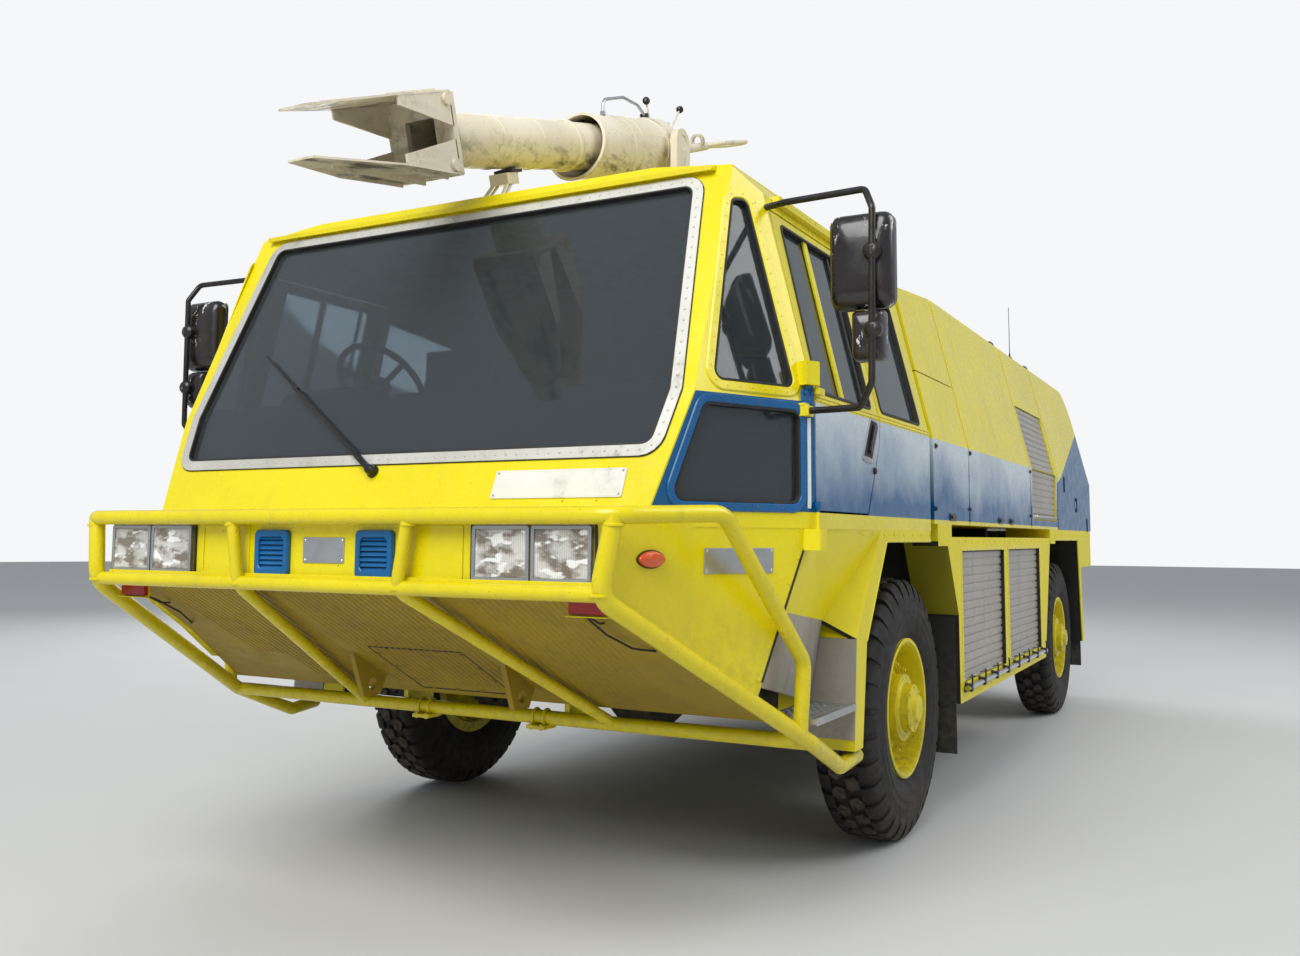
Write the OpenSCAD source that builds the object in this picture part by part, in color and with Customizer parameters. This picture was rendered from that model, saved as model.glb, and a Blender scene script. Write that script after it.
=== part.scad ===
// Airport fire truck on four driven wheels, with a roof monitor over a forward cab.
// Forward is -Y, up is +Z and the truck's left side is +X. All sizes are millimetres.
// Inside the modules y is measured back from the top tube of the bull bar, and z from the ground.

/* [Body] */
// Half the width over the body sides
half_w = 1534; // [1480:2:1580]
// Height of the belt line, where the sides start to lean in
belt_z = 1955; // [1920:5:1990]
// Underside of the coloured band and top of the cab floor
band_z = 1541; // [1520:3:1560]
// Height of the side edge of the cab roof
cab_roof_z = 2785; // [2760:5:2820]
// Height of the side edge of the body roof
body_roof_z = 2840; // [2820:5:2880]
// Lean of the sides above the belt, degrees
side_lean = 13.5; // [12:0.5:15]
// Rear end of the body
body_end_y = 8500; // [8400:20:8600]
// Thickness of the body panels
panel_t = 30; // [25:1:36]

/* [Cab] */
// Lean of the windscreen face, degrees
face_rake = 22.8; // [21:0.2:25]
// Lean of the corner panels above the belt, degrees
corner_lean = 11.5; // [10.5:0.5:13]
// Height of the crown of the cab roof
crown_z = 2925; // [2915:5:2940]
// Width of the windscreen's outer frame
frame_w = 45; // [38:1:52]
// Where the windscreen face meets the belt line
face_y = 473; // [460:1:490]
// Turn of the corner panels in plan, degrees
corner_turn = 25.1; // [23:0.1:27]
// Front edge of the doors, where the corner panels end
hinge_y = 1002; // [980:2:1020]
// Back of the cab
cab_back_y = 2650; // [2620:5:2680]
// Thickness of the cab walls and doors
wall_t = 40; // [34:1:46]
// Rear edge of the doors
door_back_y = 1808; // [1780:2:1830]
// Gap round the doors
door_gap = 8; // [6:1:10]
// Door opening angle, degrees
door_swing = 75; // [60:1:80]
// Thickness of the side glass
glass_t = 6; // [5:1:8]

/* [Nose] */
// Half the width of the lamp panel
nose_half_w = 1160; // [1130:5:1190]
// Set-back of the lamp panel behind the bull bar
nose_y = 45; // [42:1:60]
// Lower edge of the lamp panel
nose_low_z = 1285; // [1280:1:1290]
// Inward lean of the nose's side panels below the band, degrees
nose_lean = 2; // [1.5:0.5:3]
// Slope of the underside panel, degrees
apron_slope = 29.7; // [29:0.1:30]
// Rear edge of the underside panel
apron_back_y = 960; // [940:5:965]

/* [Bull bar] */
// Tube diameter of the bull bar
tube_d = 62; // [54:2:70]
// Half width of the top tube
bar_top_w = 1247; // [1220:3:1270]
// Height of the top tube
bar_top_z = 1513; // [1500:1:1530]
// Height of the bottom tube
bar_low_z = 691; // [670:3:700]

/* [Running gear] */
// Outer diameter of the tyres
tyre_d = 1248; // [1220:4:1280]
// Width of the tyres
tyre_w = 310; // [290:5:330]
// Tread width
tread_w = 236; // [220:2:250]
// Distance from the centre line to the middle of a tyre
tyre_x = 1305; // [1290:5:1320]
// Front axle
front_axle_y = 2520; // [2500:5:2540]
// Rear axle
rear_axle_y = 7103; // [7060:5:7140]
// Diameter of the rim over its flange
rim_d = 660; // [640:4:680]
// Steering angle each way, degrees
steer_lock = 28; // [24:1:30]
// Distance from the centre line to the kingpins
kingpin_x = 1080; // [1070:2:1090]
// Radius of the knuckle housing
knuckle_r = 78; // [70:1:84]
// Diameter of the stub axles
stub_d = 150; // [140:2:160]

/* [Monitor] */
// Height of the monitor's tilting axis
pivot_z = 3635; // [3590:5:3640]
// Distance of the monitor's tilting axis behind the bull bar
pivot_y = 2460; // [2440:5:2480]
// Downward tilt of the parked barrel, degrees
barrel_dip = 16; // [15:0.5:19]
// Diameter of the front barrel
barrel_d = 236; // [220:4:250]
// Diameter of the rear sleeve
sleeve_d = 330; // [310:5:350]
// Length from the tilting axis to the jaw flange
barrel_len = 2010; // [1960:10:2060]
// Length of the jaws
jaw_len = 720; // [680:10:740]
// Length of the tiller behind the tilting axis
tiller_len = 1370; // [1300:10:1400]

/* [Hidden] */
$fn = 48;
yellow = [0.88, 0.84, 0.08];
blue = [0.05, 0.30, 0.62];
silver = [0.75, 0.76, 0.77];
black = [0.06, 0.06, 0.07];
grey = [0.35, 0.35, 0.36];
cream = [0.85, 0.83, 0.74];
big = 30000;
// Clearance at which a piece seats on the next, and radial play of a shaft in its bore
seat = 0.3;
play = 0.05;
wheel_z = tyre_d / 2;
// Reach of the parked jaws in front of the bull bar, and the middle of the whole truck
tip_y = pivot_y - (barrel_len + jaw_len) * cos(barrel_dip) - 20;
bumper_back_y = body_end_y + 60;
mid_y = (bumper_back_y + tip_y) / 2;
// Underside panel: its height at a distance behind the bull bar
function apron_z(y) = nose_low_z - (y - nose_y) * tan(apron_slope);
// Outside of the leaning side at a height, and y of the windscreen face at a height
function side_x(z) = half_w - max(0, z - belt_z) * tan(side_lean);
function face_at(z) = face_y + (z - belt_z) * tan(face_rake);
// Corner panel in plan: x of its outer face at a distance y, at belt height
function corner_x(y) = half_w - (hinge_y - y) * tan(corner_turn);
// Side of the nose at a distance y and a height z below the band
function nose_side_x(y, z) = corner_x(y) - (band_z - z) * tan(nose_lean) / cos(corner_turn);
// An outline whose corners are rounded with radius r, each by n chords
function round_corner(a, b, c, r, n) =
  let (u = (a - b) / norm(a - b), v = (c - b) / norm(c - b),
       half = acos(u * v) / 2, m = b + (u + v) / norm(u + v) * r / sin(half),
       p = b + u * r / tan(half) - m, turn = (cross(b - a, c - b) > 0 ? 1 : -1) * (180 - 2 * half),
       start = atan2(p[1], p[0]))
  [for (i = [0 : n]) m + r * [cos(start + turn * i / n), sin(start + turn * i / n)]];
function rounded(pts, r, n = 4) = [for (i = [0 : len(pts) - 1])
  each round_corner(pts[(i + len(pts) - 1) % len(pts)], pts[i], pts[(i + 1) % len(pts)], r, n)];
// A list of points on the left side, preceded by its mirror image
function both_ways(p) = concat([for (i = [len(p) - 1 : -1 : 0]) [-p[i][0], p[i][1], p[i][2]]], p);

module truck() { translate([0, -mid_y, 0]) children(); }
module both() { children(); mirror([1, 0, 0]) children(); }
// Everything beyond a plane through p that faces az round and el up, moved in by t
module beyond(p, az, el, t = 0) {
  translate(p) rotate([0, 0, az]) rotate([0, -el, 0])
    translate([-t, -big / 2, -big / 2]) cube(big);
}
// A flat outline given as [y, z], spread from x0 to x1
module across(x0, x1, pts) {
  translate([x0, 0, 0]) rotate([90, 0, 90]) linear_extrude(x1 - x0) polygon(pts);
}
// A box from its low and high corners
module block(a, b) { translate(a) cube(b - a); }
// A round bar between two points
module bar(a, b, d) {
  v = b - a;
  len = norm(v);
  translate(a) rotate([0, acos(v[2] / len), atan2(v[1], v[0])]) cylinder(d = d, h = len);
}
// A bent tube through points, with bends of radius r
module tube_path(pts, d, r) {
  lap = 2;
  proud = 1.2;
  n = len(pts);
  dir = [for (i = [0 : n - 2]) (pts[i + 1] - pts[i]) / norm(pts[i + 1] - pts[i])];
  turn = [for (i = [0 : n - 1]) i == 0 || i == n - 1 ? 0 : acos(dir[i - 1] * dir[i])];
  // bars stop just inside the elbows
  trim = [for (a = turn) a == 0 ? 0 : r * tan(a / 2) - lap];
  for (i = [0 : n - 2]) bar(pts[i] + dir[i] * trim[i], pts[i + 1] - dir[i] * trim[i + 1], d);
  for (i = [1 : n - 2]) {
    w = cross(dir[i - 1], dir[i]) / sin(turn[i]);
    out = -cross(w, dir[i - 1]);
    c = pts[i] - dir[i - 1] * (trim[i] + lap) - out * r;
    multmatrix([[out[0], dir[i - 1][0], w[0], c[0]], [out[1], dir[i - 1][1], w[1], c[1]],
      [out[2], dir[i - 1][2], w[2], c[2]], [0, 0, 0, 1]])
      rotate_extrude(angle = turn[i]) translate([r, 0]) circle(d = d + proud);
  }
}
// A three-cornered plate, thick towards -x
module plate3(a, b, c, t) {
  polyhedron([a, b, c, a - [t, 0, 0], b - [t, 0, 0], c - [t, 0, 0]],
    [[0, 1, 2], [5, 4, 3], [1, 0, 3, 4], [2, 1, 4, 5], [0, 2, 5, 3]]);
}

// Cab
// Solid form of the cab between two heights, with its faces moved in by t
module cab_form(t, z0, z1) {
  difference() {
    block([-half_w + t, 0, z0], [half_w - t, cab_back_y - t, z1]);
    beyond([0, face_y, belt_z], -90, face_rake, t);
    both() {
      beyond([half_w, 0, belt_z], 0, side_lean, t);
      beyond([half_w, hinge_y, belt_z], -corner_turn, 0, t);
      beyond([half_w, hinge_y, belt_z], -corner_turn, corner_lean, t);
    }
  }
}
head_z = 2720;
module cab_walls() {
  difference() {
    cab_form(0, band_z, cab_roof_z);
    cab_form(wall_t, band_z - 1, cab_roof_z + 1);
  }
}
// Outline of a door in side view, grown by g
module door_prism(g) {
  across(0, big, [
    [hinge_y + door_gap / 2 - g, band_z + door_gap - g], [1634 + g, band_z + door_gap - g],
    [door_back_y + g, belt_z - 90], [door_back_y + g, belt_z + 5],
    [door_back_y + g * 2.1, belt_z + 10], [door_back_y + g * 2.1, head_z + g],
    [hinge_y + door_gap / 2 - g, head_z + g]]);
}
// Window openings in side view
sill_z = belt_z + 45;
door_win = rounded([[hinge_y + 60, sill_z], [door_back_y - 85, sill_z],
  [door_back_y - 85, head_z - 35], [hinge_y + 85, head_z - 35]], 30);
rear_win = rounded([[door_back_y + 60, sill_z], [cab_back_y - 140, sill_z],
  [cab_back_y - 160, head_z - 120], [door_back_y + 60, head_z - 60]], 30);
// On the corner panel: local x runs back along it to the door edge, y up it and z outwards
module on_corner(lean) {
  translate([half_w, hinge_y, belt_z]) rotate([0, 0, -corner_turn])
    rotate([0, -lean, 0]) rotate([90, 0, 90]) children();
}
module corner_window_up() {
  polygon(rounded([[-490, 50], [-100, 50], [-200, 800], [-280, 790]], 35));
}
module corner_window_low() {
  polygon(rounded([[-540, -38], [-82, -38], [-82, -384], [-690, -384]], 40));
}
screen_low_z = 1722;
screen_high_z = 2845;
// Outside of the windscreen's frame, moved in by g, with y up the face from the belt line
module screen_outline(g) {
  s = 1 / cos(face_rake);
  lo = (screen_low_z - belt_z) * s + g;
  hi = (screen_high_z - belt_z) * s - g;
  polygon(rounded([[-1200 + g, lo], [1200 - g, lo], [1240 - g, 8], [1150 - g, hi],
    [-1150 + g, hi], [-1240 + g, 8]], 90 - g));
}
module on_face() {
  translate([0, face_y, belt_z]) rotate([90 - face_rake, 0, 0]) children();
}
module cab_windows() {
  on_face() translate([0, 0, -200]) linear_extrude(400) screen_outline(frame_w);
  both() {
    on_corner(corner_lean) translate([0, 0, -120]) linear_extrude(200) corner_window_up();
    on_corner(0) translate([0, 0, -120]) linear_extrude(200) corner_window_low();
    across(half_w - 500, half_w + 50, rear_win);
  }
}
// Door hinges: the axis, the pins and the height of each hinge arm
door_x = half_w + 12;
door_y = hinge_y - 12;
door_pin_d = 14;
door_arm_z = [1555, 1985];
module cab_shell() {
  color(yellow) truck() difference() {
    union() {
      difference() {
        union() {
          cab_walls();
          // covers over the upper door hinges
          both() on_corner(0) block([-75, 60, -60], [-10, 150, 34]);
        }
        cab_windows();
        both() door_prism(door_gap);
      }
      both() translate([door_x, door_y, 2015]) cylinder(d = 22, h = 90);
    }
    both() translate([door_x, door_y, 2010]) cylinder(d = door_pin_d + 2 * play, h = 70);
  }
}
module cab_glass() {
  color(grey, 0.5) truck() {
    on_face() translate([0, 0, -22]) linear_extrude(10) screen_outline(frame_w);
    both() {
      on_corner(corner_lean) translate([0, 0, -22]) linear_extrude(glass_t) corner_window_up();
      on_corner(0) translate([0, 0, -22]) linear_extrude(glass_t) corner_window_low();
      intersection() {
        across(0, half_w, rear_win);
        difference() {
          cab_form(16, band_z, cab_roof_z);
          cab_form(16 + glass_t, band_z, cab_roof_z);
        }
      }
    }
  }
}
module screen_frame() {
  color(silver) truck() on_face() linear_extrude(8) difference() {
    screen_outline(0);
    screen_outline(frame_w);
  }
}
// Section of the roof seen from the front, moved in by t
module roof_section(t) {
  edge = side_x(cab_roof_z) - t;
  low = t == 0 ? cab_roof_z : cab_roof_z - 1;
  polygon([[-edge, low], [edge, low], [1250 - t, crown_z - 45 - t], [900, crown_z - t],
    [-900, crown_z - t], [-1250 + t, crown_z - 45 - t]]);
}
module roof_form(t) {
  difference() {
    translate([0, cab_back_y - t, 0]) rotate([90, 0, 0]) linear_extrude(cab_back_y - t)
      roof_section(t);
    beyond([0, face_y, belt_z], -90, face_rake, t);
    both() beyond([half_w, hinge_y, belt_z], -corner_turn, corner_lean, t);
  }
}
module cab_roof() {
  edge = side_x(cab_roof_z);
  front = face_at(crown_z - 65);
  color(yellow) truck() {
    difference() {
      union() {
        roof_form(0);
        // peak over the windscreen
        across(-1190, 1190, [[front - 28, crown_z - 65], [front + 30, crown_z - 65],
          [front + 40, crown_z - 42], [front - 16, crown_z - 46]]);
      }
      roof_form(wall_t);
      on_face() translate([0, 0, -200]) linear_extrude(400) screen_outline(frame_w);
    }
    // drip gutters along the sides
    both() difference() {
      union() {
        block([edge - 12, hinge_y + 60, cab_roof_z], [edge + 34, cab_back_y, cab_roof_z + 8]);
        block([edge, hinge_y + 60, cab_roof_z - 22], [edge + 34, cab_back_y, cab_roof_z]);
      }
      difference() {
        block([0, hinge_y, cab_roof_z - 23], [edge + 40, cab_back_y + 1, cab_roof_z]);
        beyond([half_w + 1, 0, belt_z], 0, side_lean);
      }
    }
  }
}
floor_t = 60;
module cab_floor() {
  color(yellow) truck() cab_form(0, band_z - floor_t, band_z);
}
module door(s) {
  color(yellow) truck() mirror([s < 0 ? 1 : 0, 0, 0]) {
    difference() {
      union() {
        intersection() {
          cab_walls();
          door_prism(0);
        }
        for (z = door_arm_z) block([half_w - 20, 1012, z], [door_x + 7, 1058, z + 25]);
      }
      across(0, big, door_win);
      cab_form(wall_t, band_z, cab_roof_z);
    }
    for (z = door_arm_z) {
      block([door_x - 7, door_y, z], [door_x + 7, 1020, z + 25]);
      translate([door_x, door_y, z]) cylinder(d = 22, h = 25);
    }
    // pins, down into the lower cover and up into the upper one
    translate([door_x, door_y, 1440]) cylinder(d = door_pin_d, h = door_arm_z[0] - 1440 + 10);
    translate([door_x, door_y, door_arm_z[1] + 10]) cylinder(d = door_pin_d, h = 75);
  }
}
module door_glass(s) {
  color(grey, 0.5) truck() mirror([s < 0 ? 1 : 0, 0, 0]) intersection() {
    across(0, big, door_win);
    difference() {
      cab_form(16, band_z, cab_roof_z);
      cab_form(16 + glass_t, band_z, cab_roof_z);
    }
  }
}
module door_left() { door(1); }
module door_right() { door(-1); }
module door_glass_left() { door_glass(1); }
module door_glass_right() { door_glass(-1); }

// Inside the cab
dash_z = 2010;
seat_y = [1330, 2180];
seat_x = 680;
module dashboard() {
  wheel_p = [-620, 1020, 2140];
  color(grey) truck() {
    intersection() {
      across(-half_w, half_w, [[0, band_z], [900, band_z], [900, dash_z - 140], [840, dash_z - 20],
        [640, dash_z], [0, dash_z]]);
      cab_form(wall_t + 20, band_z, dash_z);
    }
    bar([wheel_p[0], 860, dash_z - 120], wheel_p, 60);
    translate(wheel_p) rotate([-50, 0, 0]) {
      rotate_extrude() translate([225, 0]) circle(d = 30);
      for (a = [0, 120, 240]) rotate([0, 0, a + 90]) translate([0, -14, -8]) cube([225, 28, 16]);
      cylinder(d = 90, h = 30, center = true);
    }
  }
}
module seat_frames() {
  color(black) truck() for (x = [-seat_x, seat_x], y = seat_y) {
    block([x - 180, y - 180, band_z], [x + 180, y + 180, band_z + 260]);
    block([x - 160, y + 100, band_z + 200], [x + 160, y + 350, band_z + 260]);
    translate([x - 200, y + 225, band_z + 300]) rotate([-8, 0, 0])
      block([0, 110 + seat, -70], [400, 132, 430]);
  }
}
module seat_pads() {
  color(grey) truck() for (x = [-seat_x, seat_x], y = seat_y) {
    block([x - 240, y - 250, band_z + 260], [x + 240, y + 220, band_z + 400]);
    translate([x - 230, y + 225, band_z + 300]) rotate([-8, 0, 0]) cube([460, 110, 620]);
  }
}

// Nose below the cab
fold_y = 480;
nose_turn = atan2(corner_x(fold_y) - nose_half_w, fold_y - nose_y);
// Solid form of the nose between two heights, with its faces moved in by t
module nose_form(t, z0, z1) {
  fold_x = corner_x(fold_y);
  difference() {
    block([-half_w, nose_y + t, z0], [half_w, hinge_y, z1]);
    // the two panels meet in a hollow fold
    both() intersection() {
      beyond([nose_half_w, nose_y, band_z], -nose_turn, -nose_lean, t);
      beyond([half_w, hinge_y, band_z], -corner_turn, -nose_lean, t);
    }
  }
}
module above_apron(t) {
  difference() {
    children();
    beyond([0, nose_y, nose_low_z], -90, apron_slope - 90, t);
  }
}
nose_t = 40;
// The nose's rear edge leans back as it rises, through this y at this height
seam_y = 872;
seam_z = 1175;
seam_rake = 20;
module behind_seam(gap) { beyond([0, seam_y, seam_z], 90, -seam_rake, -gap); }
nose_top_z = band_z - floor_t;
module nose() {
  color(yellow) truck() {
    difference() {
      above_apron(0) nose_form(0, apron_z(hinge_y), nose_top_z);
      nose_form(nose_t, 0, nose_top_z + 1);
      behind_seam(0);
    }
    // shelf between the lamp panel and the windscreen face
    difference() {
      nose_form(0, nose_top_z, band_z);
      cab_form(0, 0, band_z + 1);
      block([-half_w, hinge_y - 500, 0], [half_w, hinge_y + 10, big]);
    }
  }
}
apron_t = 24;
tow_x = 388;
tow_y = 740;
tow_z = 815;
tow_eye_d = 50;
module apron() {
  color(yellow) truck() difference() {
    union() {
      difference() {
        above_apron(0) nose_form(nose_t + seat, apron_z(apron_back_y), nose_low_z + 40);
        above_apron(apron_t) block([-half_w, 0, 0], [half_w, hinge_y + 200, nose_low_z + 100]);
        block([-half_w, apron_back_y, 0], [half_w, hinge_y + 200, big]);
      }
      // towing eyes, welded through the panel
      both() across(tow_x - 12, tow_x + 12, [[tow_y - 130, apron_z(tow_y - 130) + 10],
        [tow_y - 50, tow_z - 50], [tow_y + 50, tow_z - 50], [tow_y + 90, apron_z(tow_y + 90) + 10]]);
    }
    both() translate([tow_x - 20, tow_y, tow_z]) rotate([0, 90, 0]) cylinder(d = tow_eye_d, h = 40);
  }
}
// Headlamps: x of each, and half the width and height of one
headlamp_x = [797, 1034];
headlamp_w = 115;
headlamp_h = 92;
lamp_z = 1390;
module lamps() {
  color(silver) truck() {
    both() {
      for (x = headlamp_x) difference() {
        block([x - headlamp_w, nose_y - 22, lamp_z - headlamp_h],
          [x + headlamp_w, nose_y, lamp_z + headlamp_h]);
        block([x - headlamp_w + 12, nose_y - 23, lamp_z - headlamp_h + 12],
          [x + headlamp_w - 12, nose_y - 16, lamp_z + headlamp_h - 12]);
      }
      // marker lamps on the corner panels, lens-shaped
      translate([nose_half_w, nose_y, band_z]) rotate([0, 0, -nose_turn]) rotate([0, nose_lean, 0])
        translate([0, 240, -168]) rotate([0, 90, 0]) intersection_for(z = [-52, 52])
          translate([z, 0, 0]) cylinder(r = 80, h = 20);
      // red reflectors under the middle tube
      translate([0, nose_y, nose_low_z]) rotate([180 - apron_slope, 0, 0])
        block([1000, -60, 0], [1140, -14, 22]);
      // rear lamps
      for (i = [0 : 2]) block([1000 + i * 130, body_end_y, 1580], [1110 + i * 130, body_end_y + 30, 1690]);
    }
  }
}
module nose_grilles() {
  color(blue) truck() for (x = [-250, 250]) difference() {
    translate([x, nose_y, 1380]) rotate([90, 0, 0]) linear_extrude(20)
      polygon(rounded([[-86, -85], [86, -85], [86, 85], [-86, 85]], 20));
    for (i = [0 : 4]) block([x - 62, nose_y - 21, 1322 + i * 26], [x + 62, nose_y - 6, 1336 + i * 26]);
  }
}
// Bull bar: upper hoop, middle and bottom tubes, and the sloping stays
bar_mid_w = 1200;
bar_mid_z = 1267;
bar_mid_y = 8;
bar_low_w = 1500;
bar_low_y = 1020;
tube_plate_x = 430;
module bull_bar() {
  // the corners are set out so that the bends' middles meet the cross tubes
  up_corner = [bar_mid_w - 6, bar_mid_y - 14, bar_mid_z - 8];
  foot = [bar_low_w, bar_low_y, bar_low_z];
  up_top = [bar_top_w - 9, 15, bar_top_z];
  knee = up_corner + (foot - up_corner) * 0.94;
  color(yellow) truck() {
    // upper hoop, down to the diagonals
    tube_path(both_ways([[bar_top_w, 0, bar_top_z], [1440, 385, bar_top_z + 12], [1500, 955, 992], knee]),
      tube_d - 4, 100);
    // uprights at the corners, running on as the diagonals and the kicked-up ends
    both() {
      tube_path([up_top, up_corner, foot, [bar_low_w - 10, 1370, 545], [bar_low_w, 1560, 562]], tube_d, 90);
      tube_path([[428, 0, bar_top_z], [385, bar_mid_y - 10, bar_mid_z - 6], [657, bar_low_y, bar_low_z]],
        tube_d - 16, 80);
      // plates that carry the bottom tube under the chassis rails
      block([tube_plate_x - 12, bar_low_y, bar_low_z - 16], [tube_plate_x + 12, bar_low_y + 180, rail_z]);
    }
    bar([-bar_mid_w, bar_mid_y, bar_mid_z], [bar_mid_w, bar_mid_y, bar_mid_z], tube_d - 10);
    bar([-bar_low_w, bar_low_y, bar_low_z], foot, tube_d - 4);
  }
}
module wiper() {
  pivot = [-63, -283, 0];
  color(black) truck() on_face() translate(pivot) {
    translate([0, 0, seat]) cylinder(d = 46, h = 40);
    rotate([0, 0, 145]) {
      translate([0, -10, 24]) cube([720, 20, 12]);
      translate([690, -12, 10]) cube([30, 24, 26]);
      translate([370, -7, 9]) cube([660, 14, 10]);
    }
  }
}
mirror_y = 950;
module mirrors() {
  inside = mirror_y + 40;
  color(black) truck() both() difference() {
    union() {
      tube_path([[half_w - 234, inside, cab_roof_z - 60], [half_w - 94, mirror_y, cab_roof_z - 58],
        [half_w + 231, mirror_y, cab_roof_z - 63], [half_w + 269, mirror_y, cab_roof_z - 145],
        [half_w + 261, mirror_y, belt_z + 45], [half_w + 206, mirror_y, belt_z - 38],
        [half_w - 64, mirror_y, belt_z - 38]], 26, 30);
      // heads: [x middle, z middle, half width, half height]
      for (h = [[half_w + 209, 2460, 120, 178], [half_w + 232, 2182, 60, 94]])
        translate([h[0], mirror_y + 20, h[1]]) rotate([90, 0, 0]) linear_extrude(80)
          polygon(rounded([[-h[2], -h[3]], [h[2], -h[3]], [h[2], h[3]], [-h[2], h[3]]], 32));
      // feet on the corner pillar
      block([half_w - 74, mirror_y - 30, belt_z - 60], [half_w + 6, mirror_y + 30, belt_z - 16]);
    }
    cab_form(-seat, band_z, cab_roof_z + 100);
  }
}
module steps() {
  seam_top = [nose_side_x(876, seam_z), 876, seam_z];
  inner_top = [half_w - 143, 1450, 1110];
  inner_low = [half_w - 189, 1436, 780];
  y_at_640 = wing_edge_y(640);
  color(silver) truck() both() {
    plate3(seam_top, inner_top, inner_low, 10);
    plate3(seam_top, inner_low, [nose_side_x(780, 912), 780, 912], 10);
    // tread and the upright walls behind and below it
    block([half_w - 204, 992, 762], [half_w, 1440, 780]);
    across(half_w - 204, half_w, [[y_at_640 - 9, 640], [y_at_640 - seat, 640],
      [wing_edge_y(1037) - seat, 1037], [wing_edge_y(1037) - 9, 1037]]);
  }
}
// Wings: side panels under the cab and round the wheels
arch_z = 1433;
body_z = 1520;
wing_box = [[half_w - 134, 2791, 1407], [half_w, 3076, body_z]];
// Front edge of the front wing, between its foot and the foot of the sloping panels
function wing_edge_y(z) = 1427 + (z - 596) * (1467 - 1427) / (1038 - 596);
module wings() {
  top = nose_top_z;
  // corners of the sloping panels over the step
  a = [nose_side_x(984.3, top), 984.3, top];
  b = [half_w, 1815, top];
  c = [half_w - 143, 1450, 1110];
  d = [nose_side_x(876, seam_z), 876, seam_z];
  e = [half_w, 1467, 1038];
  color(yellow) truck() both() {
    across(1200, half_w, [[1815, top], [1467, 1038], [1427, 596], [1530, 596], [1600, 1020],
      [1899, arch_z], [2640, arch_z], [2640, top]]);
    plate3(a, b, c, 36);
    plate3(a, c, d, 36);
    plate3(b, e, c, 36);
    // covers over the lower door hinges, with the bore for the pin
    difference() {
      translate([0, 0, 1400]) linear_extrude(80)
        polygon(rounded([[half_w - 54, 946], [half_w + 38, 946], [half_w + 38, 1026],
          [half_w - 54, 1026]], 14));
      intersection() {
        nose_form(-seat, 0, band_z);
        block([0, 0, 0], [half_w + 40, 986, band_z]);
      }
      translate([door_x, door_y, 1430]) cylinder(d = door_pin_d + 2 * play, h = 60);
    }
    // box sections under the front of the body and over the rear wheel
    block(wing_box[0], wing_box[1]);
    across(1200, half_w, [[6197, body_z], [6197, 1410], [6430, 1410], [6430, 1440], [7650, 1440],
      [7793, 544], [7870, 544], [7790, 1195], [8440, 1195], [8440, body_z]]);
  }
}
module mudflaps() {
  color(black) truck() both() {
    block([1319, locker_y - 10 - seat, 300], [1513, locker_y - seat, 1025]);
    block([1150, 7880, 320], [1500, 7890, 1195]);
  }
}

// Body behind the cab
body_y = 2723;
// Front of the side lockers, their top, and the clearance round the steered wheels
locker_y = 3203;
locker_top_z = 1454;
wheel_clear_y = 3245;
// Corrugated sheet of a roller shutter between two points of its section, spread over y0 to y1
function slats(p, q, pitch, deep) =
  let (n = max(2, round(norm(q - p) / pitch)), u = (q - p) / n, out = [u[1], -u[0]] / norm(u) * deep)
  [for (i = [0 : n - 1]) each [p + u * i, p + u * (i + 0.2) + out, p + u * (i + 0.8) + out]];
joint_y = [2723, 3505, 5423, 6600, 8500];
module body_form(t, y0, y1) {
  rise = body_roof_z - cab_roof_z + 20;
  round_r = 320;
  intersection() {
    difference() {
      block([-half_w + t, y0, body_z], [half_w - t, y1, body_roof_z - t]);
      both() beyond([half_w, 0, belt_z], 0, side_lean, t);
      // lower front shoulder of the roof
      beyond([0, joint_y[0], cab_roof_z - 20], -90, 90 - atan(rise / (joint_y[1] - joint_y[0])), t);
    }
    // rounded top at the rear end
    across(-half_w, half_w, concat([[0, body_z], [body_end_y - t, body_z]],
      [for (i = [0 : 6]) [body_end_y - round_r + (round_r - t) * cos(i * 15),
        body_roof_z - round_r + (round_r - t) * sin(i * 15)]], [[0, body_roof_z - t]]));
  }
}
module body_core() {
  color(yellow * 0.7) truck() body_form(panel_t, body_y, body_end_y - panel_t);
}
module body_panels() {
  bay = [5480, 6540, 1580, 2420];
  color(yellow) truck() for (i = [0 : 3]) difference() {
    body_form(0, joint_y[i] + (i == 0 ? 0 : 14), joint_y[i + 1] - (i == 3 ? 0 : 14));
    body_form(panel_t, body_y - 1, body_end_y);
    // shutter bay
    both() block([half_w - 400, bay[0], bay[2]], [half_w + 1, bay[1], bay[3]]);
    // joint across the first panel, and the recesses of the last
    both() {
      block([half_w - 300, joint_y[0] - 1, 2306], [half_w + 1, joint_y[1], 2314]);
      for (r = [[6936, 1840, 40, 120], [7550, 1690, 110, 110], [body_end_y - 254, 1520, 40, 110]])
        block([half_w - 60, r[0], r[1]], [half_w + 1, r[0] + r[2], r[1] + r[3]]);
    }
    // louvres of the engine bay, in the rear face
    for (k = [0 : 11]) block([-620, body_end_y - 40, 1700 + k * 50], [620, body_end_y + 1, 1724 + k * 50]);
  }
}
locker_bay = [[3290, 4430], [4560, 5700]];
module side_lockers() {
  color(yellow) truck() both() difference() {
    across(820, half_w, [[2962, locker_top_z], [locker_y, 1035], [locker_y + 7, 562], [5875, 574],
      [6190, locker_top_z]]);
    for (b = locker_bay) block([half_w - 40, b[0], 660], [half_w + 1, b[1], 1380]);
    block([0, 2900, 0], [1300, wheel_clear_y, big]);
    block([wing_box[0][0] - seat, 2790, wing_box[0][2] - seat], [half_w + 1, wing_box[1][1] + seat, big]);
  }
}
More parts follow.
